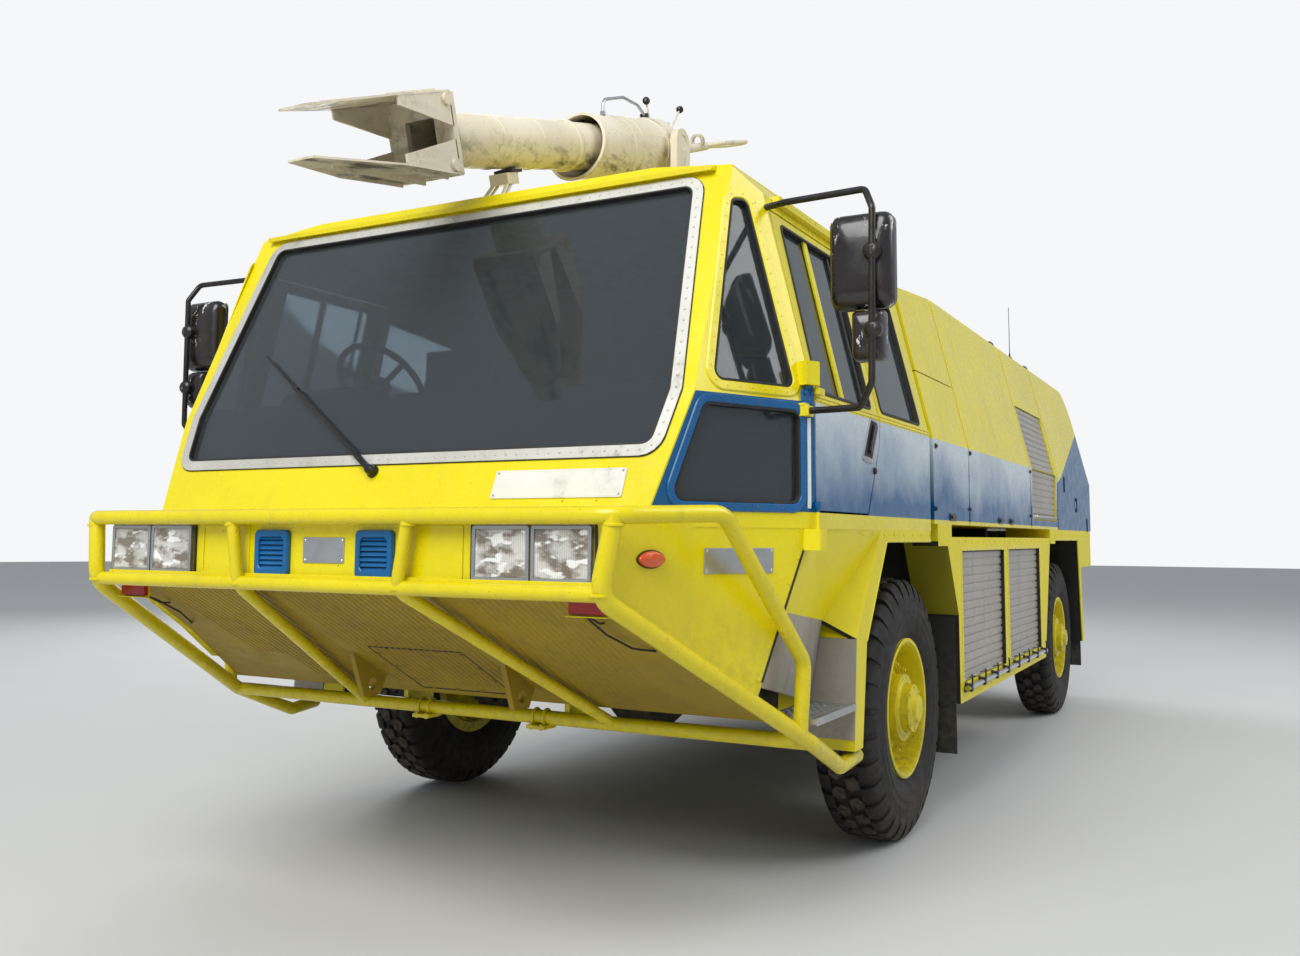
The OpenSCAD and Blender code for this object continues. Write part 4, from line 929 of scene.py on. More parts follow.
# Front
def bull_bar():
    """Tubes, carrier plates, clamps and welds, and the strip behind the top tube."""
    up_corner, foot, up_top = Vector((1194, -6, 1259)), Vector(BAR_FOOT), Vector((1238, 15, 1513))
    foot_x, foot_y, foot_z = BAR_FOOT
    s = Solid()
    hoop = [(1247, 0, 1513), (1440, 385, 1525), (foot_x, 955, 992), tuple(up_corner.lerp(foot, 0.94))]
    s.tube([(-x, y, z) for x, y, z in hoop[::-1]] + hoop, 29, 100, 20)
    for flip in (1, -1):
        s.tube([(flip * x, y, z) for x, y, z in (up_top, up_corner, foot, (1490, 1370, 545))], 31, 90, 20)
        s.tube([(flip * 1490, 1360, 549), (flip * 1490, 1372, 545), (flip * 1499, 1545, 561),
                (flip * 1500, 1556, 562), (flip * 1500, 1560, 562)], [31, 31, 31, 26, 14], 60, 20)
        s.tube([(flip * 428, 0, 1513), (flip * 385, -2, 1261), (flip * 657, foot_y, foot_z)], 23, 80, 20)
    s.tube([(-1200, 8, 1267), (1200, 8, 1267)], 26, 0, 20)
    s.tube([(-foot_x, foot_y, foot_z), BAR_FOOT], 29, 0, 20)
    plates = Solid()
    for x in (-430, 430):
        plates.block((x - 12, foot_y, 675), (x + 12, 1200, 860))
    s.make("bull_bar_tubes", paint_tubes, replaces="bull_bar")
    plates.make("bull_bar_carriers", paint_tubes, soften=2, replaces="bull_bar")
    clamps = Solid()
    for x in (-305, 305):
        for shift in (-26, 26):
            place = move(x + shift, foot_y, foot_z) @ turn("Y", 90)
            clamps.lathe([(28.8, -6), (36, -6), (40, 0), (36, 6), (28.8, 6)], place, 24, closed=True)
            clamps.lathe([(0, 0), (7, 0), (7, 26), (0, 26)], move(x + shift, foot_y - 40, 642), 10)
        clamps.block((x - 46, 972, 646), (x + 46, 1062, 662))
    clamps.make("bull_bar_clamps", paint_tubes, soften=1.5)
    Solid().block((-1155, 20, 1287), (1155, 26, 1303)).make("fascia_strip", paint_yellow, soften=1)
    welds = Solid()
    for x, y, z, r in ((1238, 12, 1513, 33), (428, 0, 1513, 26), (1194, 0, 1264, 33), (385, 4, 1263, 26),
                       (657, foot_y, foot_z, 27)):
        for flip in (1, -1):
            welds.lathe([(r * 0.86, -6), (r + 1.5, -3), (r + 1.5, 3), (r * 0.86, 6)],
                        move(flip * x, y, z + (-30 if z > 1400 else 0)), 20, closed=True)
    welds.make("bull_bar_welds", paint_tubes)


def headlamps():
    """Four lamps with fluted lenses, and the marker lamps on the nose's sides."""
    shell, bowl, lens, bulbs = Solid(LAMP_PANEL), Solid(LAMP_PANEL), Solid(LAMP_PANEL), Solid(LAMP_PANEL)
    for x in LAMP_XS:
        outline = box_outline(115, 92, 10, x, LAMP_Z)
        middle = LAMP_PANEL @ move(x, LAMP_Z, 0)
        shell.band(outline, -13, 0, 0.3, 22)
        shell.prism(grown(outline, -12), 0.3, 2)
        bowl.lathe([(0, 3), (22, 3.2), (44, 6), (66, 13), (70, 14), (70, 2.2), (0, 2.2)], middle, 40)
        bulbs.lathe([(0, 15), (9, 14), (12, 10), (12, 3.4), (0, 3.4)], middle, 20)
        lens.block((x - 101, LAMP_Z - 78, 14.5), (x + 101, LAMP_Z + 78, 17.5))
    shell.make("headlamp_frames", alloy, replaces="lamps")
    bowl.make("headlamp_bowls", bright, replaces="lamps")
    bulbs.make("headlamp_caps", chrome, slot="lamp_glass", replaces="lamps")
    # The lenses and their flutes carry painted reflections and highlights in their finish.
    lens.make("headlamp_lenses", lens_clear, replaces="lamps")
    flutes = Lines()
    for x in LAMP_XS:
        for z in (LAMP_Z + 38, LAMP_Z - 38):
            flutes.add(LAMP_PANEL, [(x - 92, z, 17.4), (x + 92, z, 17.4)])
    section = [(-4, -0.3), (4, -0.3), (2.6, 1.1), (0, 1.7), (-2.6, 1.1)]
    shape = item("lens_flute", Solid().loft([[(x, y, z) for x, z in section] for y in (-37, 37)]))
    flutes.make("headlamp_flutes", shape, 8.5, lens_clear, replaces="lamps")
    frames = Solid(LAMP_PANEL)
    for x in (915, -915):
        frames.band(box_outline(240, 98, 12, x, LAMP_Z), 0, 7, 0.2, 9)
    frames.make("headlamp_gaskets", black_rubber)
    marks = Solid()
    lens_shape = [(240 + 61 * math.cos(a), -168 + 27 * math.copysign(abs(math.sin(a)) ** 1.25, math.sin(a)))
                  for a in angles(32)]
    rings = ((0, 0.3), (0, 10), (-2, 15), (-8, 19))
    marks.loft([[(x, y, z) for x, y in grown(lens_shape, d)] for d, z in rings], NOSE_SIDE)
    marks.mirrored().make("marker_lenses", lens_orange, replaces="lamps")
    rims = Solid()
    rims.band(lens_shape, 0.2, 4, 0.2, 6, NOSE_SIDE)
    rims.mirrored().make("marker_rims", black_rubber)


def reflectors():
    s, holders, leads = Solid(), Solid(), Solid()
    hung = move(1095, 108, 1221) @ turn("X", 90)
    s.prism(box_outline(70, 24, 4), 0, 20, hung, 2)
    holders.prism(box_outline(77, 30, 4, 0, -1), -4, 0, hung)
    holders.block((-77, -33, -4), (77, -29, 26), hung)
    holders.block((-70, 26, -5), (70, 36, -2), hung)
    for path in ([(1062, 116, 1200), (1052, 180, 1172), (1050, 290, 1118), (1095, 390, 1066),
                  (1160, 440, 1056)],
                 [(1075, 116, 1200), (1066, 150, 1186), (1072, 210, 1160), (1064, 250, 1160)]):
        leads.tube(path, 4, 40, 8)
    s.mirrored().make("red_reflectors", lens_red, replaces="lamps")
    holders.mirrored().make("reflector_holders", paint_tubes)
    leads.mirrored().make("reflector_leads", black_rubber)


def nose_dressing():
    nose_grilles()
    ridges = Solid(LAMP_PANEL)
    for x in (-505, 505):
        ridges.band(box_outline(128, 92, 10, x, LAMP_Z), -7, 0, 0.3, 5)
    ridges.make("blank_lamp_frames", paint_livery)
    nose_plates()
    nose_seams()


def nose_grilles():
    """Two louvred openings, each a rounded square in a raised frame, with a flat black sheet behind the
    louvres as painted shade for the opening.
    """
    grille, opening, bars = Solid(LAMP_PANEL), Solid(LAMP_PANEL), Lines()
    half_w, half_h, power = 70, 66, 3.2
    for x in (-250, 250):
        outline = box_outline(86, 85, 20, x, GRILLE_Z, 8)
        inner = []
        for px, py in outline:
            a = math.atan2(py - GRILLE_Z, px - x)
            c, d = math.cos(a), math.sin(a)
            k = (abs(c) ** power + abs(d) ** power) ** (-1 / power)
            inner.append((x + half_w * k * c, GRILLE_Z + half_h * k * d))
        rings = ((inner, 0.3), (outline, 0.3), (outline, 15), (grown(outline, -4), 20), (grown(inner, 3), 20),
                 (inner, 17))
        grille.loft([[(a, b, z) for a, b in ring] for ring, z in rings], closed=True)
        # Flat black sheet on the panel where the opening's hollow would be: painted shade.
        opening.prism(grown(inner, 1), 0.3, 3)
        for k in range(7):
            z = GRILLE_Z + (k - 3) * 18.5
            half = half_w * max(0.3, 1 - (abs(z - GRILLE_Z) / half_h) ** power) ** (1 / power) - 1
            bars.add(LAMP_PANEL, [(x - half, z, 5), (x + half, z, 5)])
    grille.make("grille_frames", paint_blue, replaces="nose_grilles")
    opening.make("grille_backs", black_rubber, replaces="nose_grilles")
    fins = item("grille_fin", Solid().loft([[(-4.2, -8, 0), (-4.2, 8, 1), (-4.2, -6, 10)],
                                            [(4.2, -8, 0), (4.2, 8, 1), (4.2, -6, 10)]]))
    bars.make("grille_fins", fins, 8.0, paint_blue, replaces="nose_grilles")


def nose_plates():
    """Blank plates with their screws, on the lamp panel, the nose's side and the face."""
    plates = Solid()
    plates.prism(box_outline(100, 46.5, 3, 0, 1391.5), 0.3, 4, LAMP_PANEL, 0.8)
    tilt = corner(-2, BAND_Z)
    lo, hi = (tilt.inverted() @ Vector(p) for p in ((1307, 518, 1409), (1443, 808, 1319)))
    middle, half_w, half_h = (lo + hi) / 2, abs(hi.x - lo.x) / 2, abs(hi.y - lo.y) / 2
    side_plate = box_outline(half_w, half_h, 3, middle.x, middle.y)
    plates.prism(side_plate, 0.3, 4, tilt, 0.8)
    number, white = box_outline(275, 56, 8), Solid()
    place = FACE @ move(815, up_face(1631), 0)
    white.prism(number, 0.3, 5, place, 1)
    white.band(number, -7, -4.5, 4.8, 5.6, place)
    plates.make("blank_plates", alloy)
    white.make("blank_number_plate", white_plate)
    screws = Lines()
    for x in (-90, 90):
        screws.add(LAMP_PANEL, [(x, 1355, 4), (x, 1428, 4)])
    for end in (-1, 1):
        x = middle.x + end * (half_w - 10)
        screws.add(tilt, [(x, middle.y - half_h + 10, 4), (x, middle.y + half_h - 10, 4)])
    for x in (-262, 262):
        screws.add(place, [(x, -44, 5), (x, 44, 5)])
    screws.make("plate_screws", small("screw", 5), 500, chrome)


def nose_seams():
    """Seam and studs down the nose's rear panel, which leans in towards its foot."""
    seam, studs, lean = Solid(), Lines(), 2
    panel = corner(-lean, BAND_Z)

    def on_nose(y_back, z):
        """Point of the nose's rear panel at a distance back and a height."""
        in_front = (HINGE_Y - y_back) * math.tan(math.radians(CORNER_TURN))
        below = (BAND_Z - z) * math.tan(math.radians(lean)) / math.cos(math.radians(CORNER_TURN))
        return panel.inverted() @ Vector((HALF_W - in_front - below, y_back, z))

    top, low = on_nose(872 + (1478 - 1175) * math.tan(math.radians(20)) - 6, 1478), on_nose(866, 1175)
    foot = on_nose(780, 930)
    strip = [Vector((x, 0, z)) for x, z in ((-5, 0.2), (5, 0.2), (5, 1.2), (-5, 1.2))]
    for a, b in ((top, low), (low, foot)):
        seam.loft([[p + c for c in strip] for p in (a, b)], panel)
        studs.add(panel, [a - Vector((18, 12, 0)), b - Vector((18, -12, 0))])
    seam.mirrored().make("nose_seams", black_rubber)
    studs.mirrored().make("nose_studs", small("bolt", 5, 6), 88, paint_yellow)


def underside_panel():
    """Ribs, the access flap's seam and its screws, on the sloping panel."""
    slope = move(0, 45, 1285) @ turn("X", 180 - 29.7) @ turn("Z", 180)
    ribs, seams, studs = Lines(), Solid(), Lines()
    for x in range(-990, 991, 30):
        if abs(abs(x) - 388) > 28:
            far = 915 if abs(x) < 820 else 700
            ribs.add(slope, [(x, 30, 0), (x, far, 0)])
    rib = item("panel_rib", Solid().loft([[(x, -5, -0.4), (x, 5, -0.4), (x, 2.6, 2.6), (x, -2.6, 2.6)]
                                          for x in (-24, 24)]))
    ribs.make("underside_ribs", rib, 46, paint_under_shaded)
    seams.band(box_outline(240, 205, 12, 0, 790), -3, 3, 0.2, 3.2, slope)
    seams.block((-1100, 16, 0.2), (1100, 24, 5), slope)
    seams.make("underside_flap", dark_iron)
    studs.add(slope, [(x, 20, 4.6) for x in (-1080, 1080)])
    studs.add(slope, [(x, y, 3) for x, y in box_outline(228, 193, 12, 0, 790)], True)
    studs.make("underside_studs", small("bolt", 5, 4), 128, paint_under_shaded)


def screen():
    """Rivets and rubber of the windscreen, with its wiper."""
    lo, hi = up_face(1722), up_face(2845)
    outline = rounded([(-1200, lo), (1200, lo), (1240, 8), (1150, hi), (-1150, hi), (-1240, 8)], 90, 8)
    rivets = Lines().add(FACE, [(x, y, 8) for x, y in grown(outline, -22)], True)
    rivets.make("screen_rivets", small("rivet", 5.2), 47, screen_alloy)
    seals = Solid(FACE)
    seals.band(outline, -52, -44, -12, 10)
    seals.band(outline, -1, 2.5, 0.2, 5)
    seals.make("screen_seal", black_rubber)
    wiper()


def wiper():
    pivot = FACE @ move(-63, -283, 0)
    arm = pivot @ turn("Z", 145)
    s = Solid()
    s.lathe([(0, 0.3), (26, 0.3), (26, 8), (20, 14), (19, 34), (15, 40), (0, 41)], pivot, 28)
    widths = ((-22, 13, 24, 12), (40, 14, 24, 16), (150, 12, 26, 13), (170, 9, 27, 8), (700, 6, 27, 6),
              (716, 5, 26, 6))
    s.loft([[(x, -w, z), (x, w, z), (x, w * 0.8, z + h), (x, -w * 0.8, z + h)] for x, w, z, h in widths], arm)
    s.tube([(60, 0, 40), (110, 3, 43), (160, 0, 38)], 4, 30, 8, arm)
    s.block((690, -10, 10), (724, 10, 28), arm)
    for a, b in ((460, 700), (700, 940)):
        s.loft([[(x, -3, z - 2), (x, 3, z - 2), (x, 3, z + 3), (x, -3, z + 3)] for x, z in
                ((a, 13), (a + 60, 19), ((a + b) / 2, 22), (b - 60, 19), (b, 13))], arm)
    s.make("wiper_arm", black_gloss, soften=1, replaces="wiper")
    rubber = Solid()
    section = [(-5, 13), (5, 13), (5, 9), (1.2, 7), (0.8, 1), (-0.8, 1), (-1.2, 7), (-5, 9)]
    rubber.loft([[(x, y, z) for y, z in section] for x in (370, 1030)], arm)
    rubber.make("wiper_blade", black_rubber, replaces="wiper")


def mirrors():
    """A large and a small head on a tube arm, each side."""
    arms, heads, glass_faces, feet = Solid(), Solid(), Solid(), Solid()
    path = [(1300, 990, 2725), (1440, 950, 2727), (1765, 912, 2722), (1803, 874, 2640), (1795, 874, 2000),
            (1740, 912, 1917), (1470, 950, 1917)]
    arms.tube(path, 13, 30, 16)
    dome = ((0, 0.985), (4, 1.0), (26, 1.0), (50, 0.965), (66, 0.87), (75, 0.66), (79, 0.34))
    post_x, post_y = 1800, 874
    for x, z, w, h in ((1743, 2460, 120, 178), (1766, 2182, 60, 94)):
        place, joint = move(x, 970, z) @ turn("X", 90), move(post_x, post_y, z + h * 0.1)
        outline = box_outline(w, h, min(w, h) * 0.33, steps=8)
        heads.loft([[(px * k, py * k, d) for px, py in outline] for d, k in dome], place)
        heads.band(outline, -9, 0, -5, 4, place)
        glass_faces.prism(grown(outline, -9), -3, 0.4, place)
        arms.lathe([(0, -30), (30, -30), (34, -22), (34, 4), (26, 14), (12, 18), (0, 18)],
                   joint @ turn("X", 90), 28)
        heads.lathe([(13.2, -16), (20, -16), (20, 16), (13.2, 16)], joint, 20, closed=True)
    feet.block((1462, 922, 1897), (1537, 978, 1937))
    feet.prism(box_outline(26, 30, 6, 1500, 950), 1936, 1946)
    feet.tube([(1318, 985, 2716), (1318, 985, 2740)], 20, 0, 16)
    for solid, name, finish in ((arms, "mirror_arms", black_gloss), (heads, "mirror_heads", mirror_black),
                                (glass_faces, "mirror_glass", chrome), (feet, "mirror_feet", paint_yellow)):
        soften = 2 if solid is feet else 0
        solid.mirrored().make(name, finish, soften=soften, replaces="mirrors", slot="black_plastic")


def steps():
    """Chequered tread plates: bars set at 45 degrees each way, in turn."""
    walls, pitch = Solid(), 28
    diamond = [(-11, 0), (0, -3.2), (11, 0), (0, 3.2)]
    for name, angle, odd in (("step_chequer", 45, 0), ("step_chequer_across", -45, 1)):
        tread = Lines()
        for k in range(15):
            y = 1004 + k * pitch
            tread.add(move(0, 0, TREAD_Z), [(1346 + ((k + odd) % 2) * pitch / 2, y, 0), (1526, y, 0)])
        bar = item(name + "_bar", Solid().prism(diamond, -0.3, 1.8, turn("Z", angle), 0.5))
        tread.mirrored().make(name, bar, pitch, alloy)
    walls.block((1331, 993, 780.2), (1535, 1438, 781))
    walls.block((1532, 992, 758), (1538, 1440, 786))
    walls.mirrored().make("step_tread_plate", alloy)


# Cab
UPPER_WINDOW = rounded([(-490, 50), (-100, 50), (-200, 800), (-280, 790)], 35, 8)
LOWER_WINDOW = rounded([(-540, -38), (-82, -38), (-82, -384), (-690, -384)], 40, 8)
HEAD_Z = 2720
SILL_Z = 2000


def on_side(points, radius=30):
    return rounded([(y, up_side(z)) for y, z in points], radius, 6)


DOOR_WINDOW = on_side([(1062, SILL_Z), (1723, SILL_Z), (1723, HEAD_Z - 35), (1087, HEAD_Z - 35)])
REAR_WINDOW = on_side([(1868, SILL_Z), (2510, SILL_Z), (2490, HEAD_Z - 120), (1868, HEAD_Z - 60)])


def cab_windows():
    """Surrounds and rubber of the corner, rear and door windows."""
    seals, yellow, blue = Solid(), Solid(), Solid()
    upper, lower = corner(11.5), corner(0)
    yellow.band(UPPER_WINDOW, 2, 40, 0.3, 7, upper)
    blue.band(LOWER_WINDOW, 2, 34, 0.3, 7, lower)
    studs = Lines().add(upper, [(x, y, 7) for x, y in grown(UPPER_WINDOW, 22)], True).mirrored()
    studs.make("upper_window_rivets", small("rivet", 4.2), 58, paint_yellow)
    studs = Lines().add(lower, [(x, y, 7) for x, y in grown(LOWER_WINDOW, 20)], True).mirrored()
    studs.make("lower_window_rivets", small("rivet", 4.2), 58, paint_blue)
    seals.band(UPPER_WINDOW, -8, 2, -14, 4, upper)
    seals.band(LOWER_WINDOW, -8, 2, -14, 4, lower)
    seals.band(REAR_WINDOW, -9, 3, -14, 5, SIDE_UP)
    seals.mirrored().make("window_seals", black_rubber)
    yellow.mirrored().make("upper_window_surrounds", paint_yellow)
    blue.mirrored().make("lower_window_surrounds", paint_blue)
    for word, flip in SIDES:
        frame_bars, divider = Solid(), Solid()
        frame_bars.band(DOOR_WINDOW, -9, 3, -14, 5, SIDE_UP)
        frame_bars.block((1640, up_side(SILL_Z) + 6, -14), (1662, up_side(HEAD_Z - 35) - 6, -6), SIDE_UP)
        frame_bars.sided(flip).make(f"door_window_frame_{word}", black_rubber, f"door_{word}")
        divider.block((1350, up_side(SILL_Z) + 2, -14), (1388, up_side(HEAD_Z - 35) - 2, -2), SIDE_UP)
        divider.sided(flip).make(f"door_window_divider_{word}", paint_yellow, f"door_{word}", soften=2)


def door_dressing():
    """Belt strip, its rivets and the sunk handle of each door."""
    recess = [(1676, 1950), (1778, 1942), (1686, 1770), (1570, 1778)]
    for word, flip in SIDES:
        body = f"door_{word}"
        strip, rivets = Solid(), Lines()
        for z in (1962, 1978):
            strip.block((1012, up_side(z), 0.3), (1800, up_side(z + 11), 4.5), SIDE_UP)
        rivets.add(SIDE_UP, [(1020, up_side(1975.5), 0), (1795, up_side(1975.5), 0)])
        strip.sided(flip).make(f"door_belt_strip_{word}", paint_yellow, body, soften=1)
        rivets.sided(flip).make(f"door_belt_rivets_{word}", small("rivet", 4.2), 52, paint_yellow, body)
        dark, pale, lock = Solid(), Solid(), Solid()
        # The sunk recess is drawn as a flat black sheet on the door: painted shade for the hollow.
        dark.prism(rounded(recess, 14), 0.3, 1.4, SIDE)
        pale.band(rounded(recess, 14), 0, 9, 0.2, 4, SIDE)
        pale.prism(rounded([(1572, 1792), (1680, 1786), (1684, 1765), (1566, 1773)], 5), 1, 5, SIDE)
        lock.prism(rounded([(1706, 1934), (1742, 1931), (1668, 1806), (1630, 1808)], 9), 1.2, 17, SIDE, 4)
        lock.lathe([(0, 0.3), (15, 0.3), (15, 8), (12, 11), (0, 12)], SIDE @ move(1726, 1735, 0), 24)
        dark.sided(flip).make(f"door_handle_recess_{word}", black_rubber, body)
        pale.sided(flip).make(f"door_handle_rim_{word}", alloy, body)
        lock.sided(flip).make(f"door_handle_{word}", black_gloss, body, soften=1)


def belt_and_hinges():
    """Belt strips behind the doors, pillar strips and hinge brackets."""
    strip, white, brackets, studs, rivets = Solid(), Solid(), Solid(), Lines(), Lines()
    for z in (1962, 1978):
        strip.block((1822, up_side(z), 0.3), (2645, up_side(z + 11), 4.5), SIDE_UP)
    rivets.add(SIDE_UP, [(1830, up_side(1975.5), 0), (2640, up_side(1975.5), 0)])
    strip.mirrored().make("belt_strips", paint_yellow, soften=1)
    rivets.mirrored().make("belt_rivets", small("rivet", 4.2), 52, paint_yellow)
    flat = corner(0)
    white.block((-44, -400, 0.3), (-26, -62, 2.4), flat)
    white.mirrored().make("pillar_strips", white_plate)
    brackets.prism(rounded([(-76, -20), (-14, -20), (-14, 44), (-76, 44)], 8), 0.3, 9, flat, 1.5)
    brackets.prism(rounded([(-60, 44), (-20, 44), (-20, 58), (-60, 58)], 3), 0.3, 14, flat, 1.5)
    brackets.mirrored().make("hinge_brackets", paint_blue)
    for x in (-62, -28):
        studs.add(flat, [(x, -8, 9), (x, 32, 9)])
    studs.mirrored().make("hinge_bracket_bolts", small("bolt", 7, 7), 40, paint_blue)


def roof_edges():
    """Rivet rows along the gutters and the front edge, and beads on the cab roof."""
    rivets, strip, beads = Lines(), Solid(), Solid()
    gutter, run = move(side_x(CAB_ROOF_Z) + 34, 0, 2782) @ SIDEWAYS, [(1080, 0, 0), (2640, 0, 0)]
    rivets.add(gutter, run)
    peak = face_y(2860) - 28
    front = move(0, peak, 2862) @ turn("X", 90)
    rivets.add(front, [(-1180, 6, -2), (0, 6, -2)]).add(front, [(0, 6, -2), (1180, 6, -2)])
    strip.block((-1188, peak - 3, 2857), (1188, peak - 0.3, 2878))
    strip.make("roof_front_strip", paint_tubes, soften=1)
    rivets.make("roof_rivets", small("rivet", 5), 95, paint_yellow)
    Lines().add(gutter, run).mirrored().make("gutter_rivets", small("rivet", 5), 78, paint_yellow)
    for x in (-1246, 1246):
        beads.tube([(x, face_y(2875) + 14, 2880), (x, 1500, 2883), (x, 2646, 2883)], 5, 0, 8)
    beads.make("roof_beads", paint_yellow)


def face_y(z):
    return FACE_Y + (z - BELT_Z) * math.tan(math.radians(FACE_RAKE))


def plain(obj, step=None):
    """The object's mesh as its modifiers leave it; a given modifier gives way to that mesh."""
    bpy.context.view_layer.update()
    mesh = bpy.data.meshes.new_from_object(obj.evaluated_get(bpy.context.evaluated_depsgraph_get()))
    if step:
        obj.modifiers.remove(step)
        obj.data = mesh
    return mesh


def swollen(pad):
    """The pad blown up as cloth for 20 frames."""
    cloth = pad.modifiers.new("swell", "CLOTH")
    cloth.settings.use_pressure = True
    cloth.settings.uniform_pressure_force = 4.0
    cloth.settings.effector_weights.gravity = 0.0
    cloth.settings.quality = 5
    frames = 20
    cloth.point_cache.frame_start, cloth.point_cache.frame_end = 1, frames
    for step in range(1, frames + 1):
        scene.frame_set(step)
    mesh = plain(pad, cloth)
    scene.frame_set(1)
    return mesh


def padded_block(name, size, puff, channels):
    """Foam pad of a size, swollen as cloth, with sewn channels across its face."""
    w, d, h = size
    cut, stitch_w, stitch_depth = 24, 0.008, 0.009
    work = bmesh.new()
    bmesh.ops.create_cube(work, size=1.0)
    for v in work.verts:
        v.co = Vector((v.co.x * (w - cut), v.co.y * (d - cut), v.co.z * (h - cut))) * 0.001
    bmesh.ops.bevel(work, geom=work.edges[:] + work.verts[:], offset=0.022, segments=3, affect="EDGES",
                    profile=0.6)
    mesh = bpy.data.meshes.new(name)
    work.to_mesh(mesh)
    work.free()
    pad = shown(name, mesh, seat_weave)
    cells = pad.modifiers.new("cells", "REMESH")
    cells.mode, cells.voxel_size = "VOXEL", 0.013
    mesh = plain(pad, cells)
    rest = [v.co.copy() for v in mesh.vertices]
    mesh = swollen(pad)
    limit = Vector((w / 2 - 2, d / 2 - 2, h / 2 - 2)) * 0.001
    for v, start in zip(mesh.vertices, rest):
        shift = v.co - start
        if shift.length > puff:
            v.co = start + shift * (puff / shift.length)
        across = v.co.x / limit.x
        for line in channels:
            near = math.exp(-((v.co.y - line) / stitch_w) ** 2)
            if v.co.z > 0:
                v.co.z -= stitch_depth * near * max(0.0, 1 - across ** 6)
        for k in range(3):
            v.co[k] = max(-limit[k], min(limit[k], v.co[k]))
    mesh.materials.clear()
    mesh.materials.append(seat_weave)
    finer = pad.modifiers.new("finer", "SUBSURF")
    finer.levels = finer.render_levels = 1
    fine = plain(pad)
    bpy.data.objects.remove(pad)
    return fine


def seats():
    cushion = padded_block("cushion", (480, 470, 140), 0.022, (-0.11, 0.0, 0.11))
    backrest = padded_block("backrest", (460, 620, 110), 0.020, (-0.16, 0.0, 0.16))
    for row, y in (("front", 1330), ("rear", 2180)):
        for word, x in (("left", 680), ("right", -680)):
            leaning = move(x, y + 225, 1841) @ turn("X", -8)
            for kind, shape, place in (("cushion", cushion, move(x, y - 15, 1871)),
                                       ("back", backrest, leaning @ move(0, 55, 310) @ turn("X", 90))):
                mesh = shape.copy()
                mesh.transform(TO_FRAME @ place @ Matrix.Scale(1000, 4))
                mesh.polygons.foreach_set("use_smooth", [True] * len(mesh.polygons))
                pad = shown(f"seat_{kind}_{row}_{word}", mesh, seat_weave)
                settle(pad, seat_weave, replaces="seat_pads")


def cab_inside():
    s, dials = Solid(), Solid()
    hood = move(-620, 700, 2010)
    section = [(-90, 0), (120, 0), (110, 70), (60, 95), (-50, 60)]
    s.loft([[(x, y, z) for y, z in section] for x in (-230, -210, 210, 230)], hood)
    s.block((-160, 600, 2010), (180, 800, 2034))
    for x in (480, 760):
        s.loft([[(x - 130, 560, 2010), (x + 130, 560, 2010), (x + 130, 760, 2010), (x - 130, 760, 2010)],
                [(x - 110, 580, 2046), (x + 110, 580, 2046), (x + 110, 740, 2060), (x - 110, 740, 2060)]])
    s.make("dashboard_hoods", dash_grey, soften=4)
    for x in (-90, 0, 90):
        dials.lathe([(0, 0), (38, 0), (38, 6), (34, 8), (33, 4), (0, 4)],
                    hood @ move(x, 112, 44) @ turn("X", -86), 28)
    dials.make("dashboard_dials", black_gloss)


